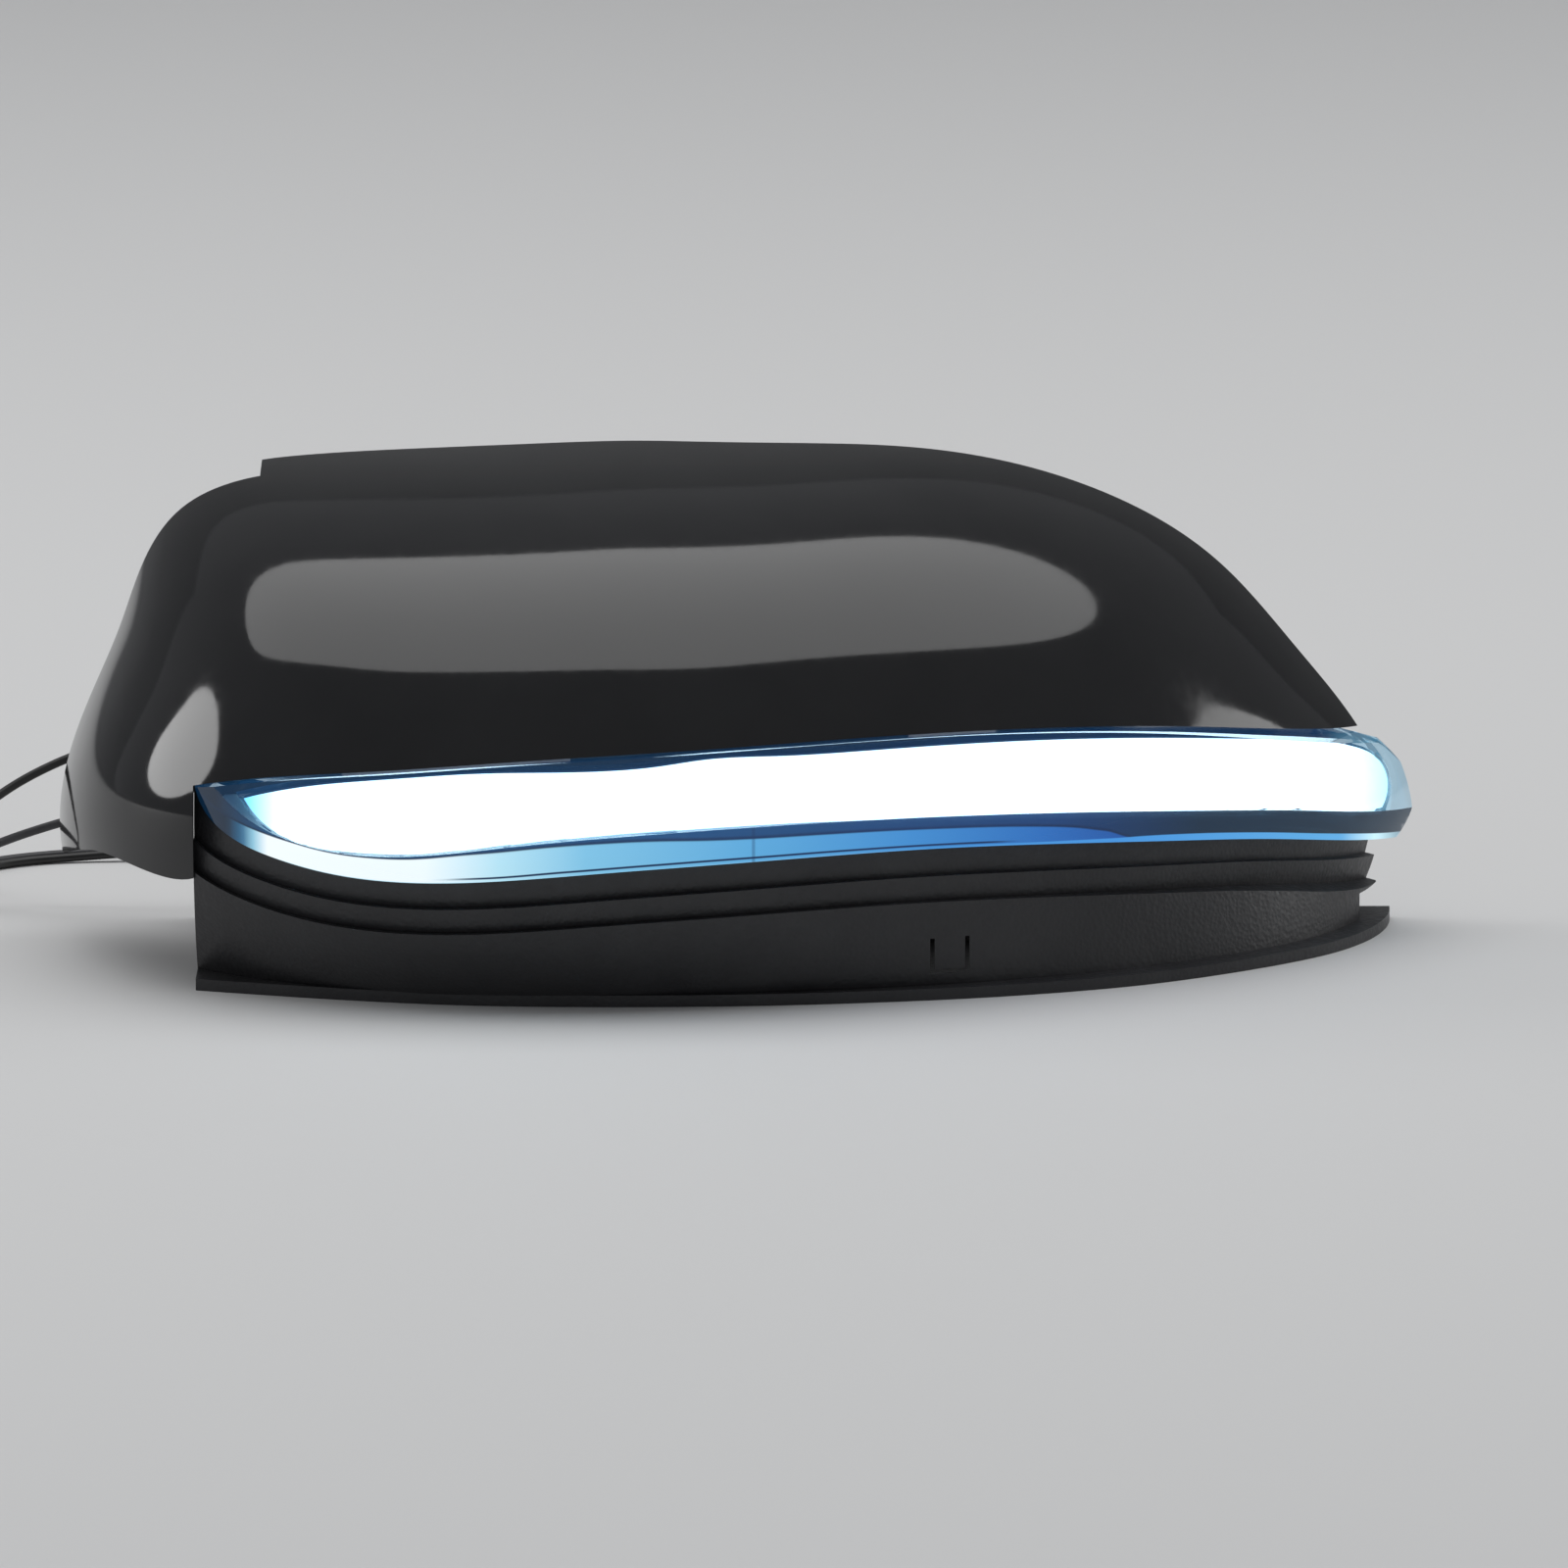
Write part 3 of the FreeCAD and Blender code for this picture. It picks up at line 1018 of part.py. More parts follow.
def wire(name, route):
    """A round wire along straight runs joined by tangent arcs."""
    points = [Vector(across, at_depth(depth), height) for across, depth, height in route]
    edges = []
    start = points[0]
    for before, corner, after in zip(points, points[1:], points[2:]):
        into = (corner - before).normalize()
        out = (after - corner).normalize()
        reach = BEND_SHARE * min((corner - before).Length, (after - corner).Length)
        turn = into.getAngle(out)
        radius = reach / math.tan(turn / 2)
        print(name, "bend radius", round(radius, 1), "turn", round(math.degrees(turn)))
        first = corner - into * reach
        last = corner + out * reach
        middle = corner + (out - into).normalize() * (radius / math.cos(turn / 2) - radius)
        edges += [Part.makeLine(start, first), Part.Arc(first, middle, last).toShape()]
        start = last
    edges.append(Part.makeLine(start, points[-1]))
    length = sum(edge.Length for edge in edges)
    ring = Part.Wire(Part.makeCircle(size("wire_radius"), points[0], points[1] - points[0]))
    tube = Part.Wire(edges).makePipeShell([ring], True, False)
    section = math.pi * size("wire_radius") ** 2
    print(name, "length", round(length, 1), "volume over section times length",
          round(tube.Volume / section / length, 4))
    return shape_feature(name, tube)


wire_upper = wire("wire_upper", UPPER_ROUTE)
wire_lower = wire("wire_lower", LOWER_ROUTE)

plug_start = UPPER_ROUTE[-1][0] + size("fit_gap")
plug_depth = (UPPER_ROUTE[-1][1] + LOWER_ROUTE[-1][1]) / 2
plug_rear = Vector(plug_start, at_depth(plug_depth), UPPER_ROUTE[-1][2])
plug_body = padded("plug_body", "XY_Plane", (
    ("0", "-sizes.plug_wide / 2 + 1"), ("1", "-sizes.plug_wide / 2"),
                                             ("sizes.plug_long", "-sizes.plug_wide / 2"),
    ("sizes.plug_long", "sizes.plug_wide / 2"), ("1", "sizes.plug_wide / 2"),
                                             ("0", "sizes.plug_wide / 2 - 1")),
    "sizes.plug_tall")
doc.recompute()
plug_block = shape_feature("plug_block", plug_body.Shape)
plug_block.Placement = Placement(Vector(plug_rear.x, plug_rear.y, 0), Rotation())
plug_room = block("plug_room", Length="sizes.plug_long", Width="sizes.plug_wide - 2 * sizes.plug_wall",
                  Height="sizes.plug_tall - 2 * sizes.plug_wall",
                  _at_x=f"{plug_rear.x} + sizes.plug_long * 0.45",
                  _at_y=f"{plug_rear.y} - sizes.plug_wide / 2 + sizes.plug_wall", _at_z="sizes.plug_wall")
plug_latch = block("plug_latch", Length="sizes.plug_long * 0.5", Width="sizes.plug_wide * 0.4",
                   Height="sizes.plug_wall",
                   _at_x=f"{plug_rear.x} + sizes.plug_long * 0.3",
                   _at_y=f"{plug_rear.y} - sizes.plug_wide * 0.2",
                   _at_z="sizes.plug_tall")


def plug_rod(name, radius, length, start, side):
    bar = doc.addObject("Part::Cylinder", name)
    bar.Placement = Placement(Vector(), Rotation(Vector(0, 1, 0), 90))
    return bind(bar, Radius=radius, Height=length, _at_x=f"{plug_rear.x} + {start}",
                _at_y=f"{plug_rear.y} + {side} * sizes.pin_pitch / 2", _at_z=str(plug_rear.z))


pins = [plug_rod(f"pin_{number}", "sizes.pin_radius", "sizes.plug_long * 0.75", "sizes.plug_long * 0.15",
                 side)
        for number, side in enumerate((-1, 1), start=1)]
pin_bores = [plug_rod(f"pin_bore_{number}", "sizes.pin_radius + sizes.touch_gap / 2", "sizes.plug_long",
                      "sizes.plug_long * 0.15", side) for number, side in enumerate((-1, 1), start=1)]
lead_plug = cut("lead_plug", fuse("plug_shell", plug_block, plug_latch), plug_room, *pin_bores)
plug_terminals = group("plug_terminals", *pins)

# Every sub-part is checked and written to a file of its own name.

SUB_PARTS = (
    mirror_cap, lower_housing, inner_frame, lamp_lens, light_guide, lens_gasket, lamp_housing, reflector,
             led_board,
    led_chips, board_resistors, board_screws, cap_screws, lamp_screws, housing_screws, vent_plug,
             lead_grommet,
    web_grommet, lead_sleeve, lead_saddle, saddle_screw, wire_upper, wire_lower, lead_plug, plug_terminals,
)

doc.recompute()
for item in doc.Objects:
    if "Invalid" in item.State or "Error" in item.State:
        raise RuntimeError(f"{item.Name} did not build")
os.makedirs("parts", exist_ok=True)
for item in SUB_PARTS:
    item.Label = item.Name
    if item.Shape.isNull() or not item.Shape.Solids or not item.Shape.isValid():
        raise RuntimeError(f"{item.Label} has no valid solid")
    item.Shape.exportStep(f"parts/{item.Label}.step")
    box = item.Shape.optimalBoundingBox(False)
    print(item.Label, len(item.Shape.Solids), "solids", round(item.Shape.Volume, 1), "mm3",
          [round(edge, 1) for edge in (box.XMin, box.XMax, box.YMin, box.YMax, box.ZMin, box.ZMax)])
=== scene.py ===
import math

import bpy
import numpy as np
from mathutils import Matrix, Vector


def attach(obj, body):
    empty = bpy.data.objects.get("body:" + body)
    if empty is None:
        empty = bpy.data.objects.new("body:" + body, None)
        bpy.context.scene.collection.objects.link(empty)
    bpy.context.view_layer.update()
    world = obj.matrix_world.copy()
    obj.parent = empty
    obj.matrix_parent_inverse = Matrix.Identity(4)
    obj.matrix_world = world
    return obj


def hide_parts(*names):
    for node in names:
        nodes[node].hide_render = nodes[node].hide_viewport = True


# Lighted turn signal lamp in the lower front of a door mirror housing.
# The scene is in metres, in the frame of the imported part: the rounded front faces -Y, the open side +Y,
# +X points away from the car and the flat base stands at Z = 0.

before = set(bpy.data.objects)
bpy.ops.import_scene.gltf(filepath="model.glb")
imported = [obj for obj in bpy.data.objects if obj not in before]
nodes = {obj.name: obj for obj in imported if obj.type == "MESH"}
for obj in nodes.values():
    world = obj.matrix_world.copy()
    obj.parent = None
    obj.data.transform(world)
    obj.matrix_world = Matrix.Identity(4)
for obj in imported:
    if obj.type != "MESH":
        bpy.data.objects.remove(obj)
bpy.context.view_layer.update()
scene = bpy.context.scene

MM = 0.001

# The outer form, in millimetres. Every line from the nose to the rim is a quarter ellipse, and the cross
# sections grow from an ellipse at the nose to the rim outline. Skins lie at an inset behind it. HEAD is the
# housing's width and height, and the outlines are shares of it in the front view, from the nose.

NOSE = np.array((-33.75, -44.6, 30.0))
HEAD = np.array((245.0, 88.5))
HEAD_DEPTH, FORM_DEPTH = 90.0, 110.0
NOSE_HALF = (121.0, 65.5)
RIM = (
    (0.000, -0.753), (0.203, -0.902), (0.482, -0.770), (0.597, -0.418), (0.637, -0.119),
    (0.567, 0.220), (0.501, 0.421), (0.415, 0.562), (0.213, 0.659), (0.069, 0.663),
    (-0.059, 0.651), (-0.187, 0.633), (-0.279, 0.554), (-0.322, 0.291), (-0.367, -0.178),
    (-0.201, -0.618),
)
LAMP_TOP = (
    (0.690, -0.017), (0.578, 0.070), (0.458, 0.142), (0.343, 0.179), (0.229, 0.191),
    (0.106, 0.185), (-0.024, 0.168), (-0.127, 0.142), (-0.204, 0.115),
)
LAMP_TIP = ((-0.252, 0.085),)
LAMP_BOTTOM = (
    (-0.241, 0.027), (-0.196, -0.034), (-0.139, -0.064), (-0.078, -0.070), (0.033, -0.050),
    (0.147, -0.035), (0.261, -0.032), (0.371, -0.047), (0.457, -0.068), (0.527, -0.093),
    (0.608, -0.145), (0.690, -0.203),
)
CREASE = (
    (-0.237, 0.093), (-0.220, 0.054), (-0.188, 0.011), (-0.147, -0.012), (-0.086, -0.010),
    (-0.024, 0.011), (0.090, 0.035), (0.200, 0.041), (0.314, 0.031), (0.429, 0.009),
    (0.490, -0.009), (0.551, -0.036), (0.600, -0.070), (0.690, -0.141),
)
GUIDE_TOP = (
    (0.607, -0.074), (0.611, -0.036), (0.604, 0.002), (0.584, 0.041), (0.561, 0.066), (0.517, 0.095),
    (0.457, 0.124), (0.343, 0.158), (0.229, 0.168), (0.171, 0.169), (0.116, 0.169),
    (0.082, 0.159), (0.049, 0.153), (-0.052, 0.147), (-0.108, 0.133), (-0.164, 0.112),
    (-0.215, 0.075),
)
CAP_LOWER_EDGE = (
    (-0.252, -0.098), (-0.304, -0.096), (-0.331, -0.099), (-0.346, -0.126), (-0.362, -0.191),
    (-0.400, -0.330),
)
LENS_END = ((0.560, 0.160), (0.611, 0.046), (0.639, -0.082), (0.626, -0.158), (0.580, -0.250))

# Sizes of the cap. A bore starts BORE_LENGTH before its post ends, and the notch lies at the arm side.

CAP_WALL, CAP_GAP = 2.4, 0.5
CAP_SCREWS = ((-82.8, 59.0), (-38.8, 69.0), (19.2, 66.0), (54.2, 53.0))
POST_RADIUS, POST_DEPTH, POST_INSET = 3.7, 57.7, 1.2
BORE_RADIUS, BORE_LENGTH = 1.8, 10.0
NOTCH_X, NOTCH_DEPTH = -85.8, 10.0

# Sizes of the lens and of the lit panel behind it, the light guide. Both come forward between FLARE_START
# and FLARE_END. The panel is smaller than its outline by GUIDE_TRIM, and its pocket larger by GUIDE_PLAY. Its
# lower edge follows the crease but for CREASE_LEAD and CREASE_TAIL at the ends. Outboard of the middle it
# sinks under the crease, by GUIDE_SINK from GUIDE_SINK_X on.

LENS_PROUD, LENS_FLARE, LENS_DEPTH = 0.8, 4.4, 86.0
GUIDE_INSET, GUIDE_FLARE, GUIDE_DEPTH = 1.7, 3.0, 84.0
LAMP_REAR_INSET = 4.5
GUIDE_TRIM, GUIDE_PLAY = 0.1, 0.3
GUIDE_SINK, GUIDE_SINK_X = 1.4, 80.0
CREASE_LEAD, CREASE_TAIL = 2.0, 1.0
FLARE_START, FLARE_END = 31.2, 119.2

# The lower flank of the lens. A step along it is FLANK_DROP down and FLANK_LEAN back, and its rows lie from
# FLANK_LOW steps under the crease to a little above it. Outboard it runs on by FLANK_BEYOND of its columns,
# across, back and up. The solid that is taken off reaches FLANK_REACH in front of it.

FLANK_LOW, FLANK_HIGH, FLANK_ROWS = 1.7, -0.25, 14
FLANK_DROP, FLANK_LEAN, FLANK_REACH = 6.0, 2.0, 32.0
FLANK_RIGHT, FLANK_COLUMNS = 121.0, 270
FLANK_BEYOND = (24.0, 24.0, 0.0)

# Fineness of the meshes. The grid of a block runs a little past the rim and is squarer than a round one.

FULL_TURN, SQUARENESS = 1.01, 6
CAP_CELLS, LENS_CELLS, GUIDE_CELLS = 180, 200, 140
INNER_CELLS, POST_CELLS = 90, 60
BAR_SIDES = 32
AIM_ROUNDS, HALVINGS = 8, 30
SHARP_ANGLE = math.radians(30)

# Planes and places past everything that is cut.

FRONT_Y, BACK_Y = -90.0, 80.0
FAR = 200.0


def linked(obj):
    scene.collection.objects.link(obj)
    return obj


def curve_slopes(knots, values, closed=False):
    """The slopes at the knots of the cubic curve of even curvature through the values.

    At an open end it is the slope of the cubic through the four values there.
    """
    count = len(values)
    steps = np.diff(knots)
    matrix = np.zeros((count, count))
    right = np.zeros(values.shape)
    for i in range(count):
        if not closed and i in (0, count - 1):
            few = slice(0, 4) if i == 0 else slice(count - 4, count)
            powers = np.polyfit(knots[few] - knots[i], values[few], 3)
            matrix[i, i] = 1
            right[i] = powers[2]
            continue
        before, after = steps[i - 1], steps[i]
        following = (i + 1) % count
        matrix[i, i - 1] += 1 / before
        matrix[i, i] += 2 / before + 2 / after
        matrix[i, following] += 1 / after
        rise, next_rise = values[i] - values[i - 1], values[following] - values[i]
        right[i] = 3 * (rise / before ** 2 + next_rise / after ** 2)
    return np.linalg.solve(matrix, right)


def curve_at(knots, values, slopes, places):
    index = np.clip(np.searchsorted(knots, places, side="right") - 1, 0, len(knots) - 2)
    step = knots[index + 1] - knots[index]
    t = (places - knots[index]) / step
    following = (index + 1) % len(values)
    if values.ndim > 1:
        step, t = step[:, None], t[:, None]
    start = (2 * t ** 3 - 3 * t ** 2 + 1) * values[index] + (t ** 3 - 2 * t ** 2 + t) * step * slopes[index]
    return start + (3 * t ** 2 - 2 * t ** 3) * values[following] + (t ** 3 - t ** 2) * step * slopes[following]


RIM_SPOTS = np.array(RIM) * HEAD
RIM_ANGLES = np.unwrap(np.arctan2(RIM_SPOTS[:, 1], RIM_SPOTS[:, 0]))
RIM_KNOTS = np.append(RIM_ANGLES, RIM_ANGLES[0] + 2 * np.pi)
RIM_REACH = np.hypot(RIM_SPOTS[:, 0], RIM_SPOTS[:, 1])
RIM_SLOPES = curve_slopes(RIM_KNOTS, RIM_REACH, closed=True)


def form_points(turn, angle):
    """Points of the form: turn goes from 0 at the nose to a right angle at the rim."""
    growth = np.sin(turn)
    rim = curve_at(RIM_KNOTS, RIM_REACH, RIM_SLOPES, (angle - RIM_KNOTS[0]) % (2 * np.pi) + RIM_KNOTS[0])
    nose = 1 / np.hypot(np.cos(angle) / NOSE_HALF[0], np.sin(angle) / NOSE_HALF[1])
    reach = growth * (nose + (rim - nose) * growth ** 2)
    depth = FORM_DEPTH * (1 - np.cos(turn))
    return NOSE + np.stack((reach * np.cos(angle), depth, reach * np.sin(angle)), -1)


def skin_points(turn, angle, inset):
    """The form's points moved inwards by inset: a number, an array or a function of the place across."""
    step = 1e-4
    place = form_points(turn, angle)
    off_nose = np.maximum(turn, 1e-3)
    along = form_points(off_nose + step, angle) - form_points(off_nose - step, angle)
    around = form_points(off_nose, angle + step) - form_points(off_nose, angle - step)
    normal = np.cross(along, around)
    normal /= np.linalg.norm(normal, axis=-1, keepdims=True)
    amount = inset(place[..., 0]) if callable(inset) else inset
    return place - normal * np.expand_dims(np.broadcast_to(amount, turn.shape), -1)


def flared(inset, flare):
    """An inset that becomes smaller by flare towards the outboard end of the lamp."""
    def amount(across):
        share = np.clip((across - FLARE_START) / (FLARE_END - FLARE_START), 0, 1)
        return inset - flare * share * share * (3 - 2 * share)
    return amount


LENS_SKIN = flared(-LENS_PROUD, LENS_FLARE)
GUIDE_SKIN = flared(GUIDE_INSET, GUIDE_FLARE)
POCKET_SKIN = flared(GUIDE_INSET - GUIDE_PLAY, GUIDE_FLARE)


def spots_at(across, up, inset):
    """The places of the inset form that lie at across and up in the front view."""
    aim_x, aim_z = np.array(across), np.array(up)
    for _ in range(AIM_ROUNDS):
        angle = np.arctan2(aim_z - NOSE[2], aim_x - NOSE[0])
        far = np.hypot(aim_x - NOSE[0], aim_z - NOSE[2])
        low, high = np.zeros_like(angle), np.full_like(angle, np.pi / 2)
        for _ in range(HALVINGS):
            turn = (low + high) / 2
            spot = form_points(turn, angle)
            short = np.hypot(spot[..., 0] - NOSE[0], spot[..., 2] - NOSE[2]) < far
            low, high = np.where(short, turn, low), np.where(short, high, turn)
        place = skin_points(turn, angle, inset)
        aim_x += across - place[..., 0]
        aim_z += up - place[..., 2]
    return place


def front_places(shares):
    return NOSE[[0, 2]] + np.array(shares) * HEAD


def at_depth(depth):
    return NOSE[1] + depth


def curve_through(points, per_span=10):
    """A smooth curve through the points of the front view, as per_span points to a span."""
    points = np.array(points)
    knots = np.concatenate(([0], np.cumsum(np.linalg.norm(np.diff(points, axis=0), axis=1))))
    spans = [np.linspace(start, end, per_span, endpoint=False) for start, end in zip(knots, knots[1:])]
    return curve_at(knots, points, curve_slopes(knots, points), np.concatenate(spans + [knots[-1:]]))


def grown(points, amount):
    """The chain of points moved sideways: outwards where it runs anticlockwise seen from the front."""
    before = np.concatenate((points[:1], points[:-1]))
    after = np.concatenate((points[1:], points[-1:]))
    along = after - before
    along /= np.linalg.norm(along, axis=1, keepdims=True)
    return points + np.stack((along[:, 1], -along[:, 0]), 1) * amount


def lengthened(end, neighbour, amount):
    """The end of a chain moved on by amount, away from its neighbour."""
    away = end - neighbour
    return end + away / np.linalg.norm(away) * amount


# Closed meshes and what is carved from them.

def mesh_object(name, vertices, faces):
    mesh = bpy.data.meshes.new(name)
    mesh.from_pydata((np.asarray(vertices) * MM).tolist(), [], faces)
    mesh.update()
    return linked(bpy.data.objects.new(name, mesh))


def slab(name, front, back):
    """A closed solid between two grids of points, each row from left to right."""
    rows, columns = front.shape[:2]
    count = rows * columns
    number = np.arange(count).reshape(rows, columns)
    quads = np.stack((number[:-1, :-1], number[:-1, 1:], number[1:, 1:], number[1:, :-1]), -1).reshape(-1, 4)
    ring = np.concatenate((number[0, :-1], number[:-1, -1], number[-1, :0:-1], number[:0:-1, 0]))
    following = np.roll(ring, -1)
    sides = np.stack((ring, ring + count, following + count, following), -1)
    faces = np.concatenate((quads, quads[:, ::-1] + count, sides)).tolist()
    return mesh_object(name, np.concatenate((front.reshape(-1, 3), back.reshape(-1, 3))), faces)


def form_block(inset, cells):
    """The closed solid inside the form at this inset."""
    share = np.linspace(-1, 1, cells + 1)
    across, up = np.meshgrid(share, share)
    far = np.hypot(across, up)
    turn = np.pi / 2 * FULL_TURN * far / (1 + far ** SQUARENESS) ** (1 / SQUARENESS)
    angle = np.arctan2(up * NOSE_HALF[1], across * NOSE_HALF[0])
    front = skin_points(turn, angle, inset)
    back = front.copy()
    back[..., 1] = BACK_Y
    return slab("form", front, back)


def prism(outline, start=FRONT_Y, end=BACK_Y):
    """An outline of the front view carried from start to end along Y."""
    outline = np.array(outline)
    x, z = outline[:, 0], outline[:, 1]
    if np.sum(x * np.roll(z, -1) - z * np.roll(x, -1)) < 0:
        outline = outline[::-1]
    count = len(outline)
    ring = list(range(count))
    vertices = [(x, y, z) for y in (start, end) for x, z in outline]
    faces = [ring, [i + count for i in reversed(ring)]]
    faces += [(i, i + count, (i + 1) % count + count, (i + 1) % count) for i in ring]
    return mesh_object("prism", vertices, faces)


def box(left, right, low, high, start=FRONT_Y, end=BACK_Y):
    return prism(((left, low), (right, low), (right, high), (left, high)), start, end)


def round_bar(spot, radius, start, end):
    turns = np.linspace(0, 2 * np.pi, BAR_SIDES + 1)[:-1]
    return prism(np.array(spot) + radius * np.stack((np.cos(turns), np.sin(turns)), 1), start, end)


def carve(base, *steps):
    """The base after each (operation, solid) in turn, as a new object."""
    for operation, solid in steps:
        change = base.modifiers.new(operation, "BOOLEAN")
        change.operation = operation
        change.solver = "MANIFOLD"
        change.material_mode = "TRANSFER"
        change.object = solid
    shapes = bpy.context.evaluated_depsgraph_get()
    mesh = bpy.data.meshes.new_from_object(base.evaluated_get(shapes))
    for item in [base] + [solid for _, solid in steps]:
        bpy.data.objects.remove(item)
    return linked(bpy.data.objects.new("carved", mesh))


def coloured(solid, material):
    solid.data.materials.append(material)
    return solid


def stand_in(piece, node):
    """Lets the piece stand in for its node."""
    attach(piece, "root")
    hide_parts(node)


def finish_piece(piece, name, node):
    """Names the carved piece, shades it smooth but for its edges and lets it stand in for its node."""
    piece.name = piece.data.name = name
    piece.data.polygons.foreach_set("use_smooth", [True] * len(piece.data.polygons))
    piece.data.set_sharp_from_angle(angle=SHARP_ANGLE)
    stand_in(piece, node)


# Outlines of the pieces in the front view, and what is taken off the lens.

def end_outline():
    """Everything inboard of the round outboard end of the lens."""
    curve = curve_through(front_places(LENS_END))
    corners = ((curve[-1, 0], -FAR), (-FAR, -FAR), (-FAR, FAR), (curve[0, 0], FAR))
    return np.concatenate((curve, corners))


def lamp_edges(amount):
    """The lens's top edge as far as its tip, and its bottom edge from there."""
    chain = grown(front_places(LAMP_TOP + LAMP_TIP + LAMP_BOTTOM), amount)
    tip = len(LAMP_TOP)
    return chain[:tip + 1], chain[tip:]


def lens_outline():
    top, bottom = lamp_edges(0.0)
    return np.concatenate((curve_through(top)[:-1], curve_through(bottom)))


def guide_outline(amount):
    """The lit panel: under the lens's top edge, down to the crease or a little past it, round outboard."""
    edge = front_places(GUIDE_TOP)
    crease = front_places(CREASE)
    inside = (crease[:, 0] > edge[-1, 0] + CREASE_LEAD) & (crease[:, 0] < edge[0, 0] - CREASE_TAIL)
    top = grown(edge, amount)
    top[0] = lengthened(top[0], top[1], amount * 2)
    top[-1] = lengthened(top[-1], top[-2], amount * 2)
    low = grown(np.concatenate((edge[-1:], crease[inside], edge[:1])), amount)
    low[:, 1] -= GUIDE_SINK * np.clip(low[:, 0] / GUIDE_SINK_X, 0, 1)
    top[0, 1] -= GUIDE_SINK
    low[0], low[-1] = top[-1], top[0]
    return np.concatenate((curve_through(top)[:-1], curve_through(low)[:-1]))


def cap_outline():
    """Everything that the cap covers: above the lens and, at the arm side, above the cap's own edge."""
    top = lamp_edges(CAP_GAP)[0]
    edge = front_places(CAP_LOWER_EDGE)
    edge[0, 0] = top[-1, 0]
    corners = ((edge[-1, 0], FAR), (top[0, 0], FAR))
    return np.concatenate((curve_through(top), curve_through(edge), corners))


def flank_block():
    """What is taken off the lens below its crease, so that its lower flank leans back."""
    places = front_places(CREASE)
    crease = curve_through(np.concatenate((places[:1] * 2 - places[1:2], places)), 40)
    across = np.linspace(crease[0, 0], FLANK_RIGHT, FLANK_COLUMNS)
    height = np.interp(across, crease[:, 0], crease[:, 1])
    rows = []
    for step in np.linspace(FLANK_LOW, FLANK_HIGH, FLANK_ROWS):
        rows.append(spots_at(across, height - step * FLANK_DROP, LENS_SKIN(across) + step * FLANK_LEAN))
    leaning = np.array(rows)
    beyond = leaning[:, -1] + (leaning[:, -1] - leaning[:, -2]) * FLANK_BEYOND
    leaning = np.concatenate((leaning, beyond[:, None]), axis=1)
    return slab("flank", leaning - (0, FLANK_REACH, 0), leaning)


# Materials. Every colour is linear, and every bump distance is in metres. A noise stays mostly between
# NOISE_LOW and NOISE_HIGH.

NOISE_LOW, NOISE_HIGH = 0.3, 0.7
FAINT = 0.00001


def new_material(name):
    material = bpy.data.materials.new(name)
    material.use_nodes = True
    tree = material.node_tree
    return material, tree, tree.nodes["Principled BSDF"]


def feed(tree, socket, item):
    """Gives the socket a number, a colour or the output of another node."""
    if isinstance(item, float):
        socket.default_value = item
    elif isinstance(item, tuple):
        socket.default_value = (*item, 1)
    else:
        tree.links.new(item, socket)


def noise(tree, scale, detail=4.0):
    """A noise that follows the piece's own place, not the camera's."""
    place = tree.nodes.new("ShaderNodeTexCoord")
    texture = tree.nodes.new("ShaderNodeTexNoise")
    texture.inputs["Scale"].default_value = scale
    texture.inputs["Detail"].default_value = detail
    texture.inputs["Roughness"].default_value = 0.55
    tree.links.new(place.outputs["Object"], texture.inputs["Vector"])
    return texture.outputs["Fac"]


def grain(tree, scale):
    """Rounded grains with narrow valleys, as on a grained moulding."""
    place = tree.nodes.new("ShaderNodeTexCoord")
    cells = tree.nodes.new("ShaderNodeTexVoronoi")
    cells.feature = "SMOOTH_F1"
    cells.inputs["Scale"].default_value = scale
    cells.inputs["Smoothness"].default_value = 0.6
    tree.links.new(place.outputs["Object"], cells.inputs["Vector"])
    return cells.outputs["Distance"]


def spread(tree, value, start, end, low=0.0, high=1.0, soft=False):
    """The value spread from start..end to low..high, evenly or with soft ends."""
    node = tree.nodes.new("ShaderNodeMapRange")
    node.interpolation_type = "SMOOTHSTEP" if soft else "LINEAR"
    tree.links.new(value, node.inputs["Value"])
    for name, item in (("From Min", start), ("From Max", end), ("To Min", low), ("To Max", high)):
        feed(tree, node.inputs[name], item)
    return node.outputs["Result"]


def uneven(tree, value, low, high):
    """A noise as a roughness from low to high."""
    return spread(tree, value, NOISE_LOW, NOISE_HIGH, low, high)


def ramp(tree, value, *stops):
    """The value as a colour, by stops of a position and a colour."""
    node = tree.nodes.new("ShaderNodeValToRGB")
    elements = node.color_ramp.elements
    while len(elements) < len(stops):
        elements.new(1.0)
    for element, (position, colour) in zip(elements, stops):
        element.position = position
        element.color = (*colour, 1)
    tree.links.new(value, node.inputs["Fac"])
    return node.outputs["Color"]


def tint(tree, value, first, second):
    """A noise as a colour between two."""
    return ramp(tree, value, (NOISE_LOW, first), (NOISE_HIGH, second))


def bump(tree, height, distance, shader, after=None):
    node = tree.nodes.new("ShaderNodeBump")
    node.inputs["Strength"].default_value = 1.0
    node.inputs["Distance"].default_value = distance
    tree.links.new(height, node.inputs["Height"])
    if after:
        tree.links.new(after, node.inputs["Normal"])
    tree.links.new(node.outputs["Normal"], shader.inputs["Normal"])
    return node.outputs["Normal"]


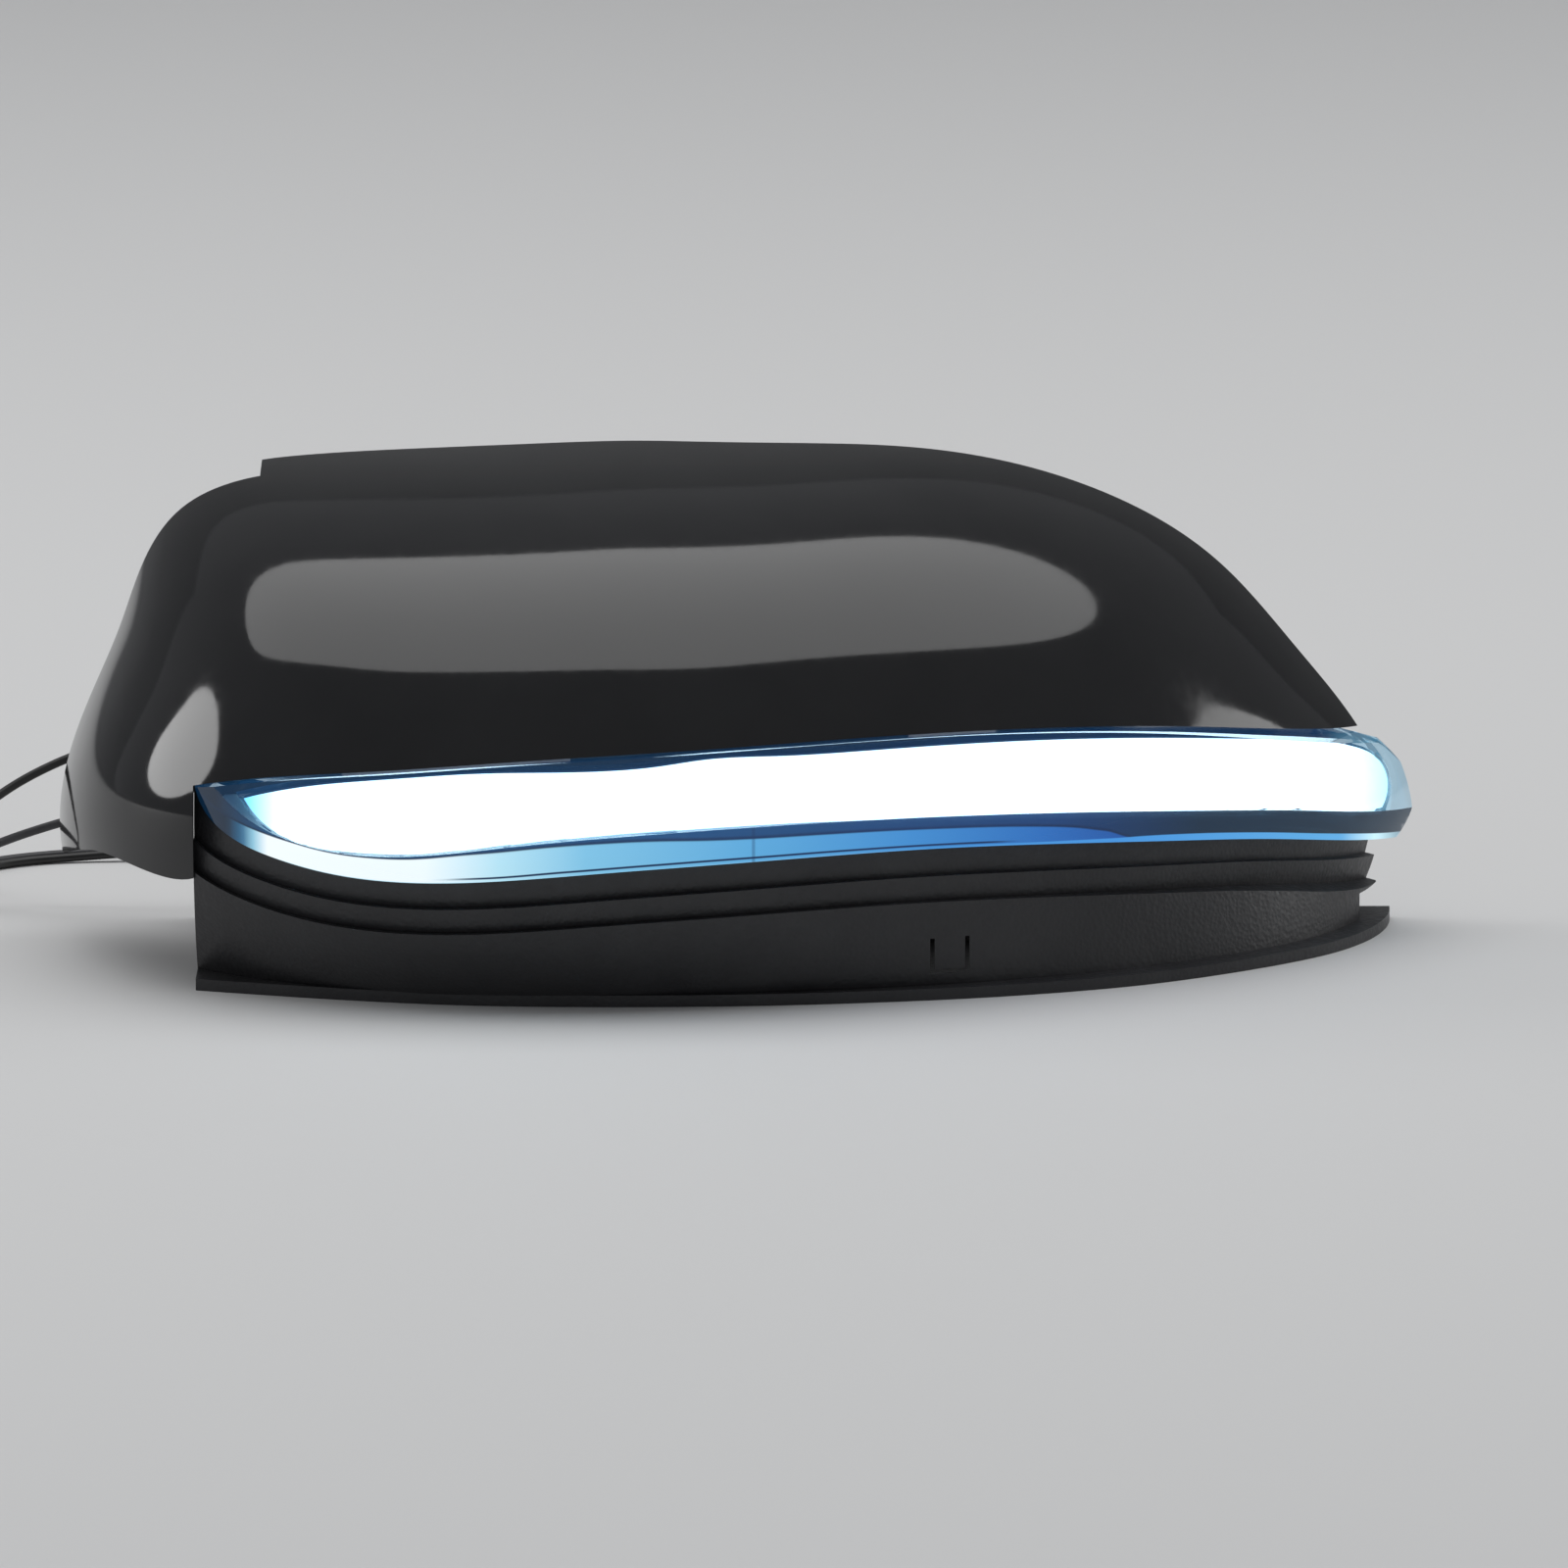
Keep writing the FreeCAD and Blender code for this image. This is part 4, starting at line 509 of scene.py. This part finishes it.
def plastic(name, dark, light, rough, grain_scale=0.0, grain_depth=FAINT, mottle=60.0):
    """A moulded plastic: slightly mottled colour, uneven gloss and, where asked, a moulded grain."""
    material, tree, shader = new_material(name)
    tree.links.new(tint(tree, noise(tree, mottle), dark, light), shader.inputs["Base Color"])
    tree.links.new(uneven(tree, noise(tree, mottle * 12), *rough), shader.inputs["Roughness"])
    shader.inputs["IOR"].default_value = 1.5
    if grain_scale:
        first = bump(tree, grain(tree, grain_scale), grain_depth, shader)
        bump(tree, noise(tree, grain_scale * 3, 2.0), grain_depth * 0.3, shader, after=first)
    else:
        bump(tree, noise(tree, mottle * 6, 2.0), grain_depth, shader)
    return material


def steel(name, colour, rough=(0.25, 0.42)):
    """A plated metal with small darker and glossier patches."""
    material, tree, shader = new_material(name)
    shader.inputs["Metallic"].default_value = 1.0
    patches = noise(tree, 900.0)
    darker = tuple(part * 0.75 for part in colour)
    tree.links.new(tint(tree, patches, darker, colour), shader.inputs["Base Color"])
    tree.links.new(uneven(tree, patches, *rough), shader.inputs["Roughness"])
    bump(tree, noise(tree, 1500.0, 2.0), 0.00002, shader)
    return material


def grey(level):
    return (level, level, level)


MATERIALS = {
    "lower_housing": plastic("housing_grained", (0.016, 0.016, 0.018), (0.026, 0.026, 0.028),
                             (0.38, 0.5), 1300.0, 0.00006),
    "inner_frame": plastic("frame_moulding", (0.028, 0.028, 0.029), (0.04, 0.04, 0.041),
                           (0.45, 0.62), 900.0, 0.00003),
    "lamp_housing": plastic("lamp_moulding", (0.022, 0.022, 0.023), (0.032, 0.032, 0.033),
                            (0.35, 0.5), 900.0, 0.00002),
    "lens_gasket": plastic("foam", grey(0.018), grey(0.03), (0.85, 0.95), 3000.0, 0.0002),
    "reflector": plastic("reflector_white", (0.78, 0.78, 0.76), (0.86, 0.86, 0.84), (0.3, 0.4)),
    "led_board": plastic("solder_mask", (0.02, 0.12, 0.05), (0.03, 0.16, 0.07), (0.25, 0.4)),
    "led_chips": plastic("phosphor", (0.85, 0.66, 0.2), (0.9, 0.75, 0.3), (0.2, 0.3)),
    "board_resistors": plastic("resistor", (0.02, 0.02, 0.025), (0.04, 0.04, 0.05), (0.3, 0.4)),
    "board_screws": steel("board_screw_zinc", (0.62, 0.62, 0.63)),
    "cap_screws": steel("cap_screw_zinc", (0.5, 0.5, 0.52)),
    "lamp_screws": steel("lamp_screw_zinc", (0.5, 0.5, 0.52)),
    "housing_screws": steel("housing_screw_zinc", (0.5, 0.5, 0.52)),
    "saddle_screw": steel("saddle_screw_zinc", (0.55, 0.55, 0.56)),
    "plug_terminals": steel("tinned", (0.75, 0.73, 0.68), (0.15, 0.3)),
    "vent_plug": plastic("vent_rubber", grey(0.016), grey(0.028), (0.6, 0.8), 2000.0, 0.00003),
    "lead_grommet": plastic("grommet_rubber", grey(0.014), grey(0.026), (0.6, 0.8), 2000.0, 0.00003),
    "web_grommet": plastic("web_rubber", grey(0.014), grey(0.026), (0.6, 0.8), 2000.0, 0.00003),
    "lead_sleeve": plastic("sleeve_braid", grey(0.014), grey(0.03), (0.5, 0.7), 2600.0, 0.00008),
    "lead_saddle": plastic("saddle_moulding", (0.03, 0.03, 0.031), (0.045, 0.045, 0.046),
                           (0.4, 0.55), 1200.0, 0.00002),
    "lead_plug": plastic("plug_moulding", (0.014, 0.014, 0.015), (0.024, 0.024, 0.025),
                         (0.4, 0.55), 1500.0, 0.00002),
}

for node, material in MATERIALS.items():
    mesh = nodes[node].data
    mesh.materials.clear()
    mesh.materials.append(material)

# The lit lamp. Its colours follow the place across and the height, each 0 to 1 between these four edges.

LAMP_LEFT, LAMP_RIGHT = -96.0, 122.0
LAMP_LOW, LAMP_HIGH = 8.0, 40.0
LINE_POINTS = 14

# The flank's seam: its place across, half the width of its core, half its whole width and its strength.

SEAM, SEAM_CORE, SEAM_EDGE, SEAM_STRENGTH = 0.455, 0.0008, 0.0018, 0.4


def drawn(tree, value, points):
    """A drawn curve over the value; the points and the result run from 0 to 1."""
    node = tree.nodes.new("ShaderNodeFloatCurve")
    line = node.mapping.curves[0]
    line.points[0].location = points[0]
    line.points[1].location = points[-1]
    for point in points[1:-1]:
        line.points.new(*point)
    node.mapping.update()
    tree.links.new(value, node.inputs["Value"])
    return node.outputs["Value"]


def worked_out(tree, operation, *items):
    """The result of a math operation on numbers and outputs."""
    node = tree.nodes.new("ShaderNodeMath")
    node.operation = operation
    for socket, item in zip(node.inputs, items):
        feed(tree, socket, item)
    return node.outputs["Value"]


def mixed(tree, factor, first, second):
    """Between two colours, each a colour or an output."""
    node = tree.nodes.new("ShaderNodeMix")
    node.data_type = "RGBA"
    tree.links.new(factor, node.inputs["Factor"])
    for name, colour in (("A", first), ("B", second)):
        feed(tree, [item for item in node.inputs if item.name == name and item.type == "RGBA"][0], colour)
    return [item for item in node.outputs if item.type == "RGBA"][0]


def lamp_places(tree):
    """The place across and the height within the lamp, both from 0 to 1."""
    place = tree.nodes.new("ShaderNodeTexCoord")
    split = tree.nodes.new("ShaderNodeSeparateXYZ")
    tree.links.new(place.outputs["Object"], split.inputs["Vector"])
    across = spread(tree, split.outputs["X"], LAMP_LEFT * MM, LAMP_RIGHT * MM)
    height = spread(tree, split.outputs["Z"], LAMP_LOW * MM, LAMP_HIGH * MM)
    return across, height


def lamp_line(shares):
    """A line of the front view as points of a drawn curve."""
    curve = curve_through(front_places(shares))
    across = np.linspace(LAMP_LEFT, LAMP_RIGHT, LINE_POINTS)
    height = np.interp(across, curve[:, 0], curve[:, 1])
    places = (across - LAMP_LEFT) / (LAMP_RIGHT - LAMP_LEFT)
    heights = np.clip((height - LAMP_LOW) / (LAMP_HIGH - LAMP_LOW), 0, 1)
    return [(float(place), float(level)) for place, level in zip(places, heights)]


def clear_glass(name, colour, transmission):
    material, tree, shader = new_material(name)
    shader.inputs["Base Color"].default_value = (*colour, 1)
    shader.inputs["Transmission Weight"].default_value = transmission
    shader.inputs["IOR"].default_value = 1.49
    tree.links.new(uneven(tree, noise(tree, 500.0), 0.01, 0.03), shader.inputs["Roughness"])
    bump(tree, noise(tree, 120.0, 2.0), 0.000004, shader)
    shader.inputs["Emission Strength"].default_value = 1.0
    return material, tree, shader


def lens_clear():
    """The clear upper face, faintly blue and a little brighter at its outboard end."""
    material, tree, shader = clear_glass("lens_clear", (0.62, 0.8, 0.9), 1.0)
    across, _ = lamp_places(tree)
    light = ramp(tree, across, (0.0, (0.002, 0.012, 0.03)), (0.93, (0.001, 0.006, 0.018)),
                 (0.975, (0.012, 0.05, 0.075)), (1.0, (0.006, 0.025, 0.04)))
    tree.links.new(light, shader.inputs["Emission Color"])
    return material


def lens_flank():
    """The lit lower flank: white at the inboard end, then blue, with a vertical seam.

    Going down, 0 at the crease and 1 at the lower edge, there are a haze, a dark stretch that ends where
    the band does, the glow, a thin dark line and a bright lower edge, partly the lamp's glow and partly a
    painted highlight. The band widens outboard.
    """
    material, tree, shader = clear_glass("lens_flank", (0.006, 0.02, 0.045), 0.12)
    across, height = lamp_places(tree)
    crease = drawn(tree, across, lamp_line(CREASE))
    bottom = drawn(tree, across, lamp_line(LAMP_BOTTOM))
    below_crease = worked_out(tree, "SUBTRACT", crease, height)
    down = worked_out(tree, "DIVIDE", below_crease, worked_out(tree, "SUBTRACT", crease, bottom))
    haze = ramp(tree, across, (0.02, (0.001, 0.006, 0.015)), (0.08, (0.01, 0.08, 0.2)),
                (0.4, (0.006, 0.06, 0.18)), (0.7, (0.003, 0.035, 0.14)), (0.82, (0.002, 0.015, 0.035)),
                (1.0, (0.002, 0.014, 0.025)))
    shade = ramp(tree, across, (0.0, (0.001, 0.01, 0.03)), (0.6, (0.002, 0.02, 0.09)),
                 (1.0, (0.001, 0.01, 0.02)))
    glow = ramp(tree, across, (0.03, (0.001, 0.008, 0.02)), (0.042, (0.02, 0.12, 0.24)),
                (0.052, (0.3, 0.6, 0.75)), (0.062, (0.9, 0.97, 1.0)), (0.19, (0.85, 0.95, 1.0)),
                (0.25, (0.45, 0.75, 0.88)), (0.32, (0.2, 0.52, 0.75)), (0.45, (0.1, 0.38, 0.68)),
                (0.58, (0.045, 0.25, 0.6)), (0.69, (0.018, 0.14, 0.47)), (0.78, (0.006, 0.06, 0.3)))
    # The bright lower edge: partly the lamp's glow, partly a painted highlight along the lens's edge.
    edge = ramp(tree, across, (0.03, (0.001, 0.008, 0.02)), (0.07, (0.6, 0.85, 0.95)),
                (0.4, (0.3, 0.65, 0.9)), (0.6, (0.06, 0.3, 0.7)), (0.75, (0.05, 0.28, 0.7)),
                (0.94, (0.1, 0.4, 0.75)), (0.97, (0.6, 0.9, 1.0)), (1.0, (0.01, 0.06, 0.12)))
    band = drawn(tree, across, [(0.0, 0.05), (0.2, 0.07), (0.35, 0.14), (0.45, 0.3), (0.58, 0.34),
                                (0.68, 0.4), (0.74, 0.6), (0.8, 0.98), (1.0, 1.0)])
    above_band = worked_out(tree, "SUBTRACT", band, 0.1)
    light = mixed(tree, spread(tree, down, above_band, band, soft=True), haze, shade)
    below_band = worked_out(tree, "ADD", band, 0.06)
    light = mixed(tree, spread(tree, down, band, below_band, soft=True), light, glow)
    line = drawn(tree, down, [(0.0, 0.0), (0.83, 0.0), (0.86, 1.0), (0.89, 1.0), (0.92, 0.0), (1.0, 0.0)])
    reach = drawn(tree, across, [(0.0, 0.0), (0.19, 0.0), (0.24, 1.0), (0.64, 1.0), (0.68, 0.0), (1.0, 0.0)])
    light = mixed(tree, worked_out(tree, "MULTIPLY", line, reach), light, shade)
    # Where the bright lower edge with its painted highlight begins, going down.
    rim_start = drawn(tree, across, [(0.0, 0.93), (0.66, 0.92), (0.74, 0.86), (0.8, 0.78), (1.0, 0.8)])
    rim_end = worked_out(tree, "ADD", rim_start, 0.04)
    light = mixed(tree, spread(tree, down, rim_start, rim_end, soft=True), light, edge)
    aside = worked_out(tree, "ABSOLUTE", worked_out(tree, "SUBTRACT", across, SEAM))
    light = mixed(tree, spread(tree, aside, SEAM_CORE, SEAM_EDGE, SEAM_STRENGTH, 0.0), light, shade)
    tree.links.new(light, shader.inputs["Emission Color"])
    return material


def satin(tree, shader, low, high):
    """The uneven gloss and faint grain of the light guide."""
    tree.links.new(uneven(tree, noise(tree, 900.0), low, high), shader.inputs["Roughness"])
    bump(tree, noise(tree, 2500.0, 2.0), 0.00002, shader)


def guide_glow():
    """The lit face of the light guide: white, and blue at both ends."""
    material, tree, shader = new_material("guide_glow")
    across, _ = lamp_places(tree)
    milk = ramp(tree, across, (0.033, (0.03, 0.2, 0.34)), (0.05, (0.25, 0.62, 0.78)),
                (0.074, (0.9, 0.95, 0.97)), (0.945, (0.9, 0.95, 0.97)), (0.975, (0.5, 0.8, 0.9)))
    tree.links.new(milk, shader.inputs["Base Color"])
    satin(tree, shader, 0.3, 0.45)
    tree.links.new(milk, shader.inputs["Emission Color"])
    shader.inputs["Emission Strength"].default_value = 2.0
    return material


def guide_sides_painted_shade():
    """The sides of the light guide, painted a dark navy as shade, with a faint blue glow."""
    material, tree, shader = new_material("guide_sides_painted_shade")
    # Painted shade: dark navy sides, so that the strip of lens above the lit face stays dark.
    navy_painted_shade = tint(tree, noise(tree, 300.0), (0.01, 0.025, 0.05), (0.015, 0.035, 0.07))
    tree.links.new(navy_painted_shade, shader.inputs["Base Color"])
    satin(tree, shader, 0.4, 0.55)
    shader.inputs["Emission Color"].default_value = (0.002, 0.02, 0.06, 1)
    shader.inputs["Emission Strength"].default_value = 1.0
    return material


# The cap, the lens and the light guide, cut from the form again on a finer mesh.

def cap_posts():
    """The screw posts as one solid, inside the cap's outer skin."""
    bars = [round_bar(spot, POST_RADIUS, at_depth(0.0), at_depth(POST_DEPTH)) for spot in CAP_SCREWS]
    joined = [("UNION", bar) for bar in bars[1:]]
    return carve(bars[0], *joined, ("INTERSECT", form_block(POST_INSET, POST_CELLS)))


def cap():
    rear = at_depth(HEAD_DEPTH)
    bore_start = at_depth(POST_DEPTH) - BORE_LENGTH
    bores = [("DIFFERENCE", round_bar(spot, BORE_RADIUS, bore_start, BACK_Y)) for spot in CAP_SCREWS]
    shell = carve(form_block(0.0, CAP_CELLS),
                  ("INTERSECT", prism(cap_outline())),
                  ("DIFFERENCE", form_block(CAP_WALL, INNER_CELLS)),
                  ("UNION", cap_posts()),
                  ("DIFFERENCE", box(-FAR, FAR, -FAR, FAR, rear)),
                  ("DIFFERENCE", box(-FAR, NOTCH_X, -FAR, FAR, rear - NOTCH_DEPTH)),
                  *bores)
    shell.data.materials.clear()
    gloss = plastic("cap_gloss", (0.007, 0.007, 0.008), (0.011, 0.011, 0.012), (0.05, 0.08),
                    grain_depth=0.000003, mottle=40.0)
    finish_piece(coloured(shell, gloss), "cap_moulding", "mirror_cap")


def lens():
    """The lens with the light guide's pocket in its rear and its flank cut back."""
    pocket_edge = prism(guide_outline(GUIDE_PLAY), end=at_depth(GUIDE_DEPTH + GUIDE_PLAY))
    pocket = carve(form_block(POCKET_SKIN, GUIDE_CELLS),
                   ("INTERSECT", pocket_edge),
                   ("DIFFERENCE", form_block(LAMP_REAR_INSET + GUIDE_PLAY, INNER_CELLS)))
    glass = carve(coloured(form_block(LENS_SKIN, LENS_CELLS), lens_clear()),
                  ("INTERSECT", prism(lens_outline(), end=at_depth(LENS_DEPTH))),
                  ("INTERSECT", prism(end_outline())),
                  ("DIFFERENCE", form_block(LAMP_REAR_INSET, INNER_CELLS)),
                  ("DIFFERENCE", pocket),
                  ("DIFFERENCE", coloured(flank_block(), lens_flank())))
    finish_piece(glass, "lens_moulding", "lamp_lens")


def light_guide():
    surround = coloured(prism(guide_outline(-GUIDE_TRIM), end=at_depth(GUIDE_DEPTH)), guide_sides_painted_shade())
    panel = carve(coloured(form_block(GUIDE_SKIN, GUIDE_CELLS), guide_glow()),
                  ("INTERSECT", surround),
                  ("DIFFERENCE", form_block(LAMP_REAR_INSET, INNER_CELLS)))
    finish_piece(panel, "guide_moulding", "light_guide")


cap()
lens()
light_guide()

# The two wires of the lead. Across, depth behind the nose and height of each route point, in millimetres.

UPPER_ROUTE = ((-78.8, 77.1, 34.4), (-79.2, 87.0, 34.6), (-90.8, 95.5, 34.2), (-105.8, 97.0, 32.4),
               (-120.3, 96.0, 29.4), (-135.8, 97.0, 21.0), (-146.3, 104.0, 8.5), (-146.8, 120.0, 0.9),
               (-136.8, 136.0, 0.9), (-118.8, 142.8, 0.9), (-97.0, 141.7, 3.0))
LOWER_ROUTE = ((-78.8, 77.1, 32.6), (-79.1, 86.0, 32.0), (-86.8, 93.0, 27.5), (-102.8, 95.0, 21.5),
               (-119.8, 95.5, 17.6), (-136.8, 98.5, 11.5), (-148.8, 109.0, 3.0), (-147.8, 127.0, 0.9),
               (-133.8, 141.5, 0.9), (-116.3, 147.0, 0.9), (-97.0, 145.3, 3.0))
WIRE_RADIUS = 0.8 * MM


def wire(name, route, colours, node):
    """A round wire along its route, standing in for its node."""
    points = [Vector((across, at_depth(depth), height)) * MM for across, depth, height in route]
    curve = bpy.data.curves.new(name, "CURVE")
    curve.dimensions = "3D"
    spline = curve.splines.new("NURBS")
    spline.points.add(len(points) - 1)
    for point, place in zip(spline.points, points):
        point.co = (*place, 1)
    spline.order_u = 3
    spline.use_endpoint_u = True
    spline.resolution_u = 12
    curve.bevel_depth = WIRE_RADIUS
    curve.bevel_resolution = 6
    curve.use_fill_caps = True
    curve.materials.append(plastic(name + "_insulation", *colours, (0.35, 0.5), mottle=400.0))
    piece = linked(bpy.data.objects.new(name, curve))
    stand_in(piece, node)


wire("lead_wire_upper", UPPER_ROUTE, (grey(0.008), grey(0.014)), "wire_upper")
wire("lead_wire_lower", LOWER_ROUTE, ((0.03, 0.03, 0.033), (0.045, 0.045, 0.05)), "wire_lower")

# The stage, in metres: pale floor and backdrop in one sweep, soft studio light, and the camera at the
# photograph's angle.

SWEEP_SIDE, SWEEP_START, SWEEP_END = 5.0, -5.0, 3.4
SWEEP_BEND, SWEEP_TOP, BEND_STEPS = 0.8, 3.0, 12
LIT_SPOT = (0, 0, 0.04)


def sweep():
    """The floor, bent up into the backdrop."""
    material, _, shader = new_material("stage_sweep")
    shader.inputs["Base Color"].default_value = (0.62, 0.62, 0.62, 1)
    shader.inputs["Roughness"].default_value = 0.7
    profile = [(SWEEP_START, 0.0), (SWEEP_END, 0.0)]
    for step in range(1, BEND_STEPS + 1):
        turn = math.radians(90) * step / BEND_STEPS
        profile.append((SWEEP_END + SWEEP_BEND * math.sin(turn), SWEEP_BEND - SWEEP_BEND * math.cos(turn)))
    profile.append((SWEEP_END + SWEEP_BEND, SWEEP_TOP))
    vertices = [(side, y, z) for y, z in profile for side in (-SWEEP_SIDE, SWEEP_SIDE)]
    faces = [(i, i + 1, i + 3, i + 2) for i in range(0, len(vertices) - 2, 2)]
    mesh = bpy.data.meshes.new("stage_sweep")
    mesh.from_pydata(vertices, [], faces)
    mesh.materials.append(material)
    for polygon in mesh.polygons:
        polygon.use_smooth = True
    linked(bpy.data.objects.new("stage_sweep", mesh))


def softbox(name, place, width, height, watts):
    lamp = bpy.data.lights.new(name, "AREA")
    lamp.shape = "ELLIPSE"
    lamp.size, lamp.size_y = width, height
    lamp.energy = watts
    light = linked(bpy.data.objects.new(name, lamp))
    light.location = place
    light.rotation_euler = (Vector(LIT_SPOT) - Vector(place)).to_track_quat("-Z", "Y").to_euler()


sweep()
softbox("key", (-2.3, 0.3, 0.75), 1.3, 1.1, 18)
softbox("fill", (2.3, 0.5, 0.65), 1.2, 1.0, 9)
softbox("top", (0.0, 0.3, 1.7), 3.6, 1.5, 27)

world = bpy.data.worlds.new("studio")
scene.world = world
world.use_nodes = True
world.node_tree.nodes["Background"].inputs["Color"].default_value = (0.8, 0.82, 0.85, 1)
world.node_tree.nodes["Background"].inputs["Strength"].default_value = 0.3

ELEVATION = math.radians(11)
AIM = Vector((8.55, -32.9, 39.9)) * MM
DISTANCE = 2.5
camera_data = bpy.data.cameras.new("camera")
camera_data.sensor_width = 36
camera_data.lens = 326.25
camera_data.clip_end = 20
camera = linked(bpy.data.objects.new("camera", camera_data))
camera.location = AIM + Vector((0, -math.cos(ELEVATION), math.sin(ELEVATION))) * DISTANCE
camera.rotation_euler = (math.radians(90) - ELEVATION, 0, 0)
scene.camera = camera
scene.view_settings.view_transform = "Standard"
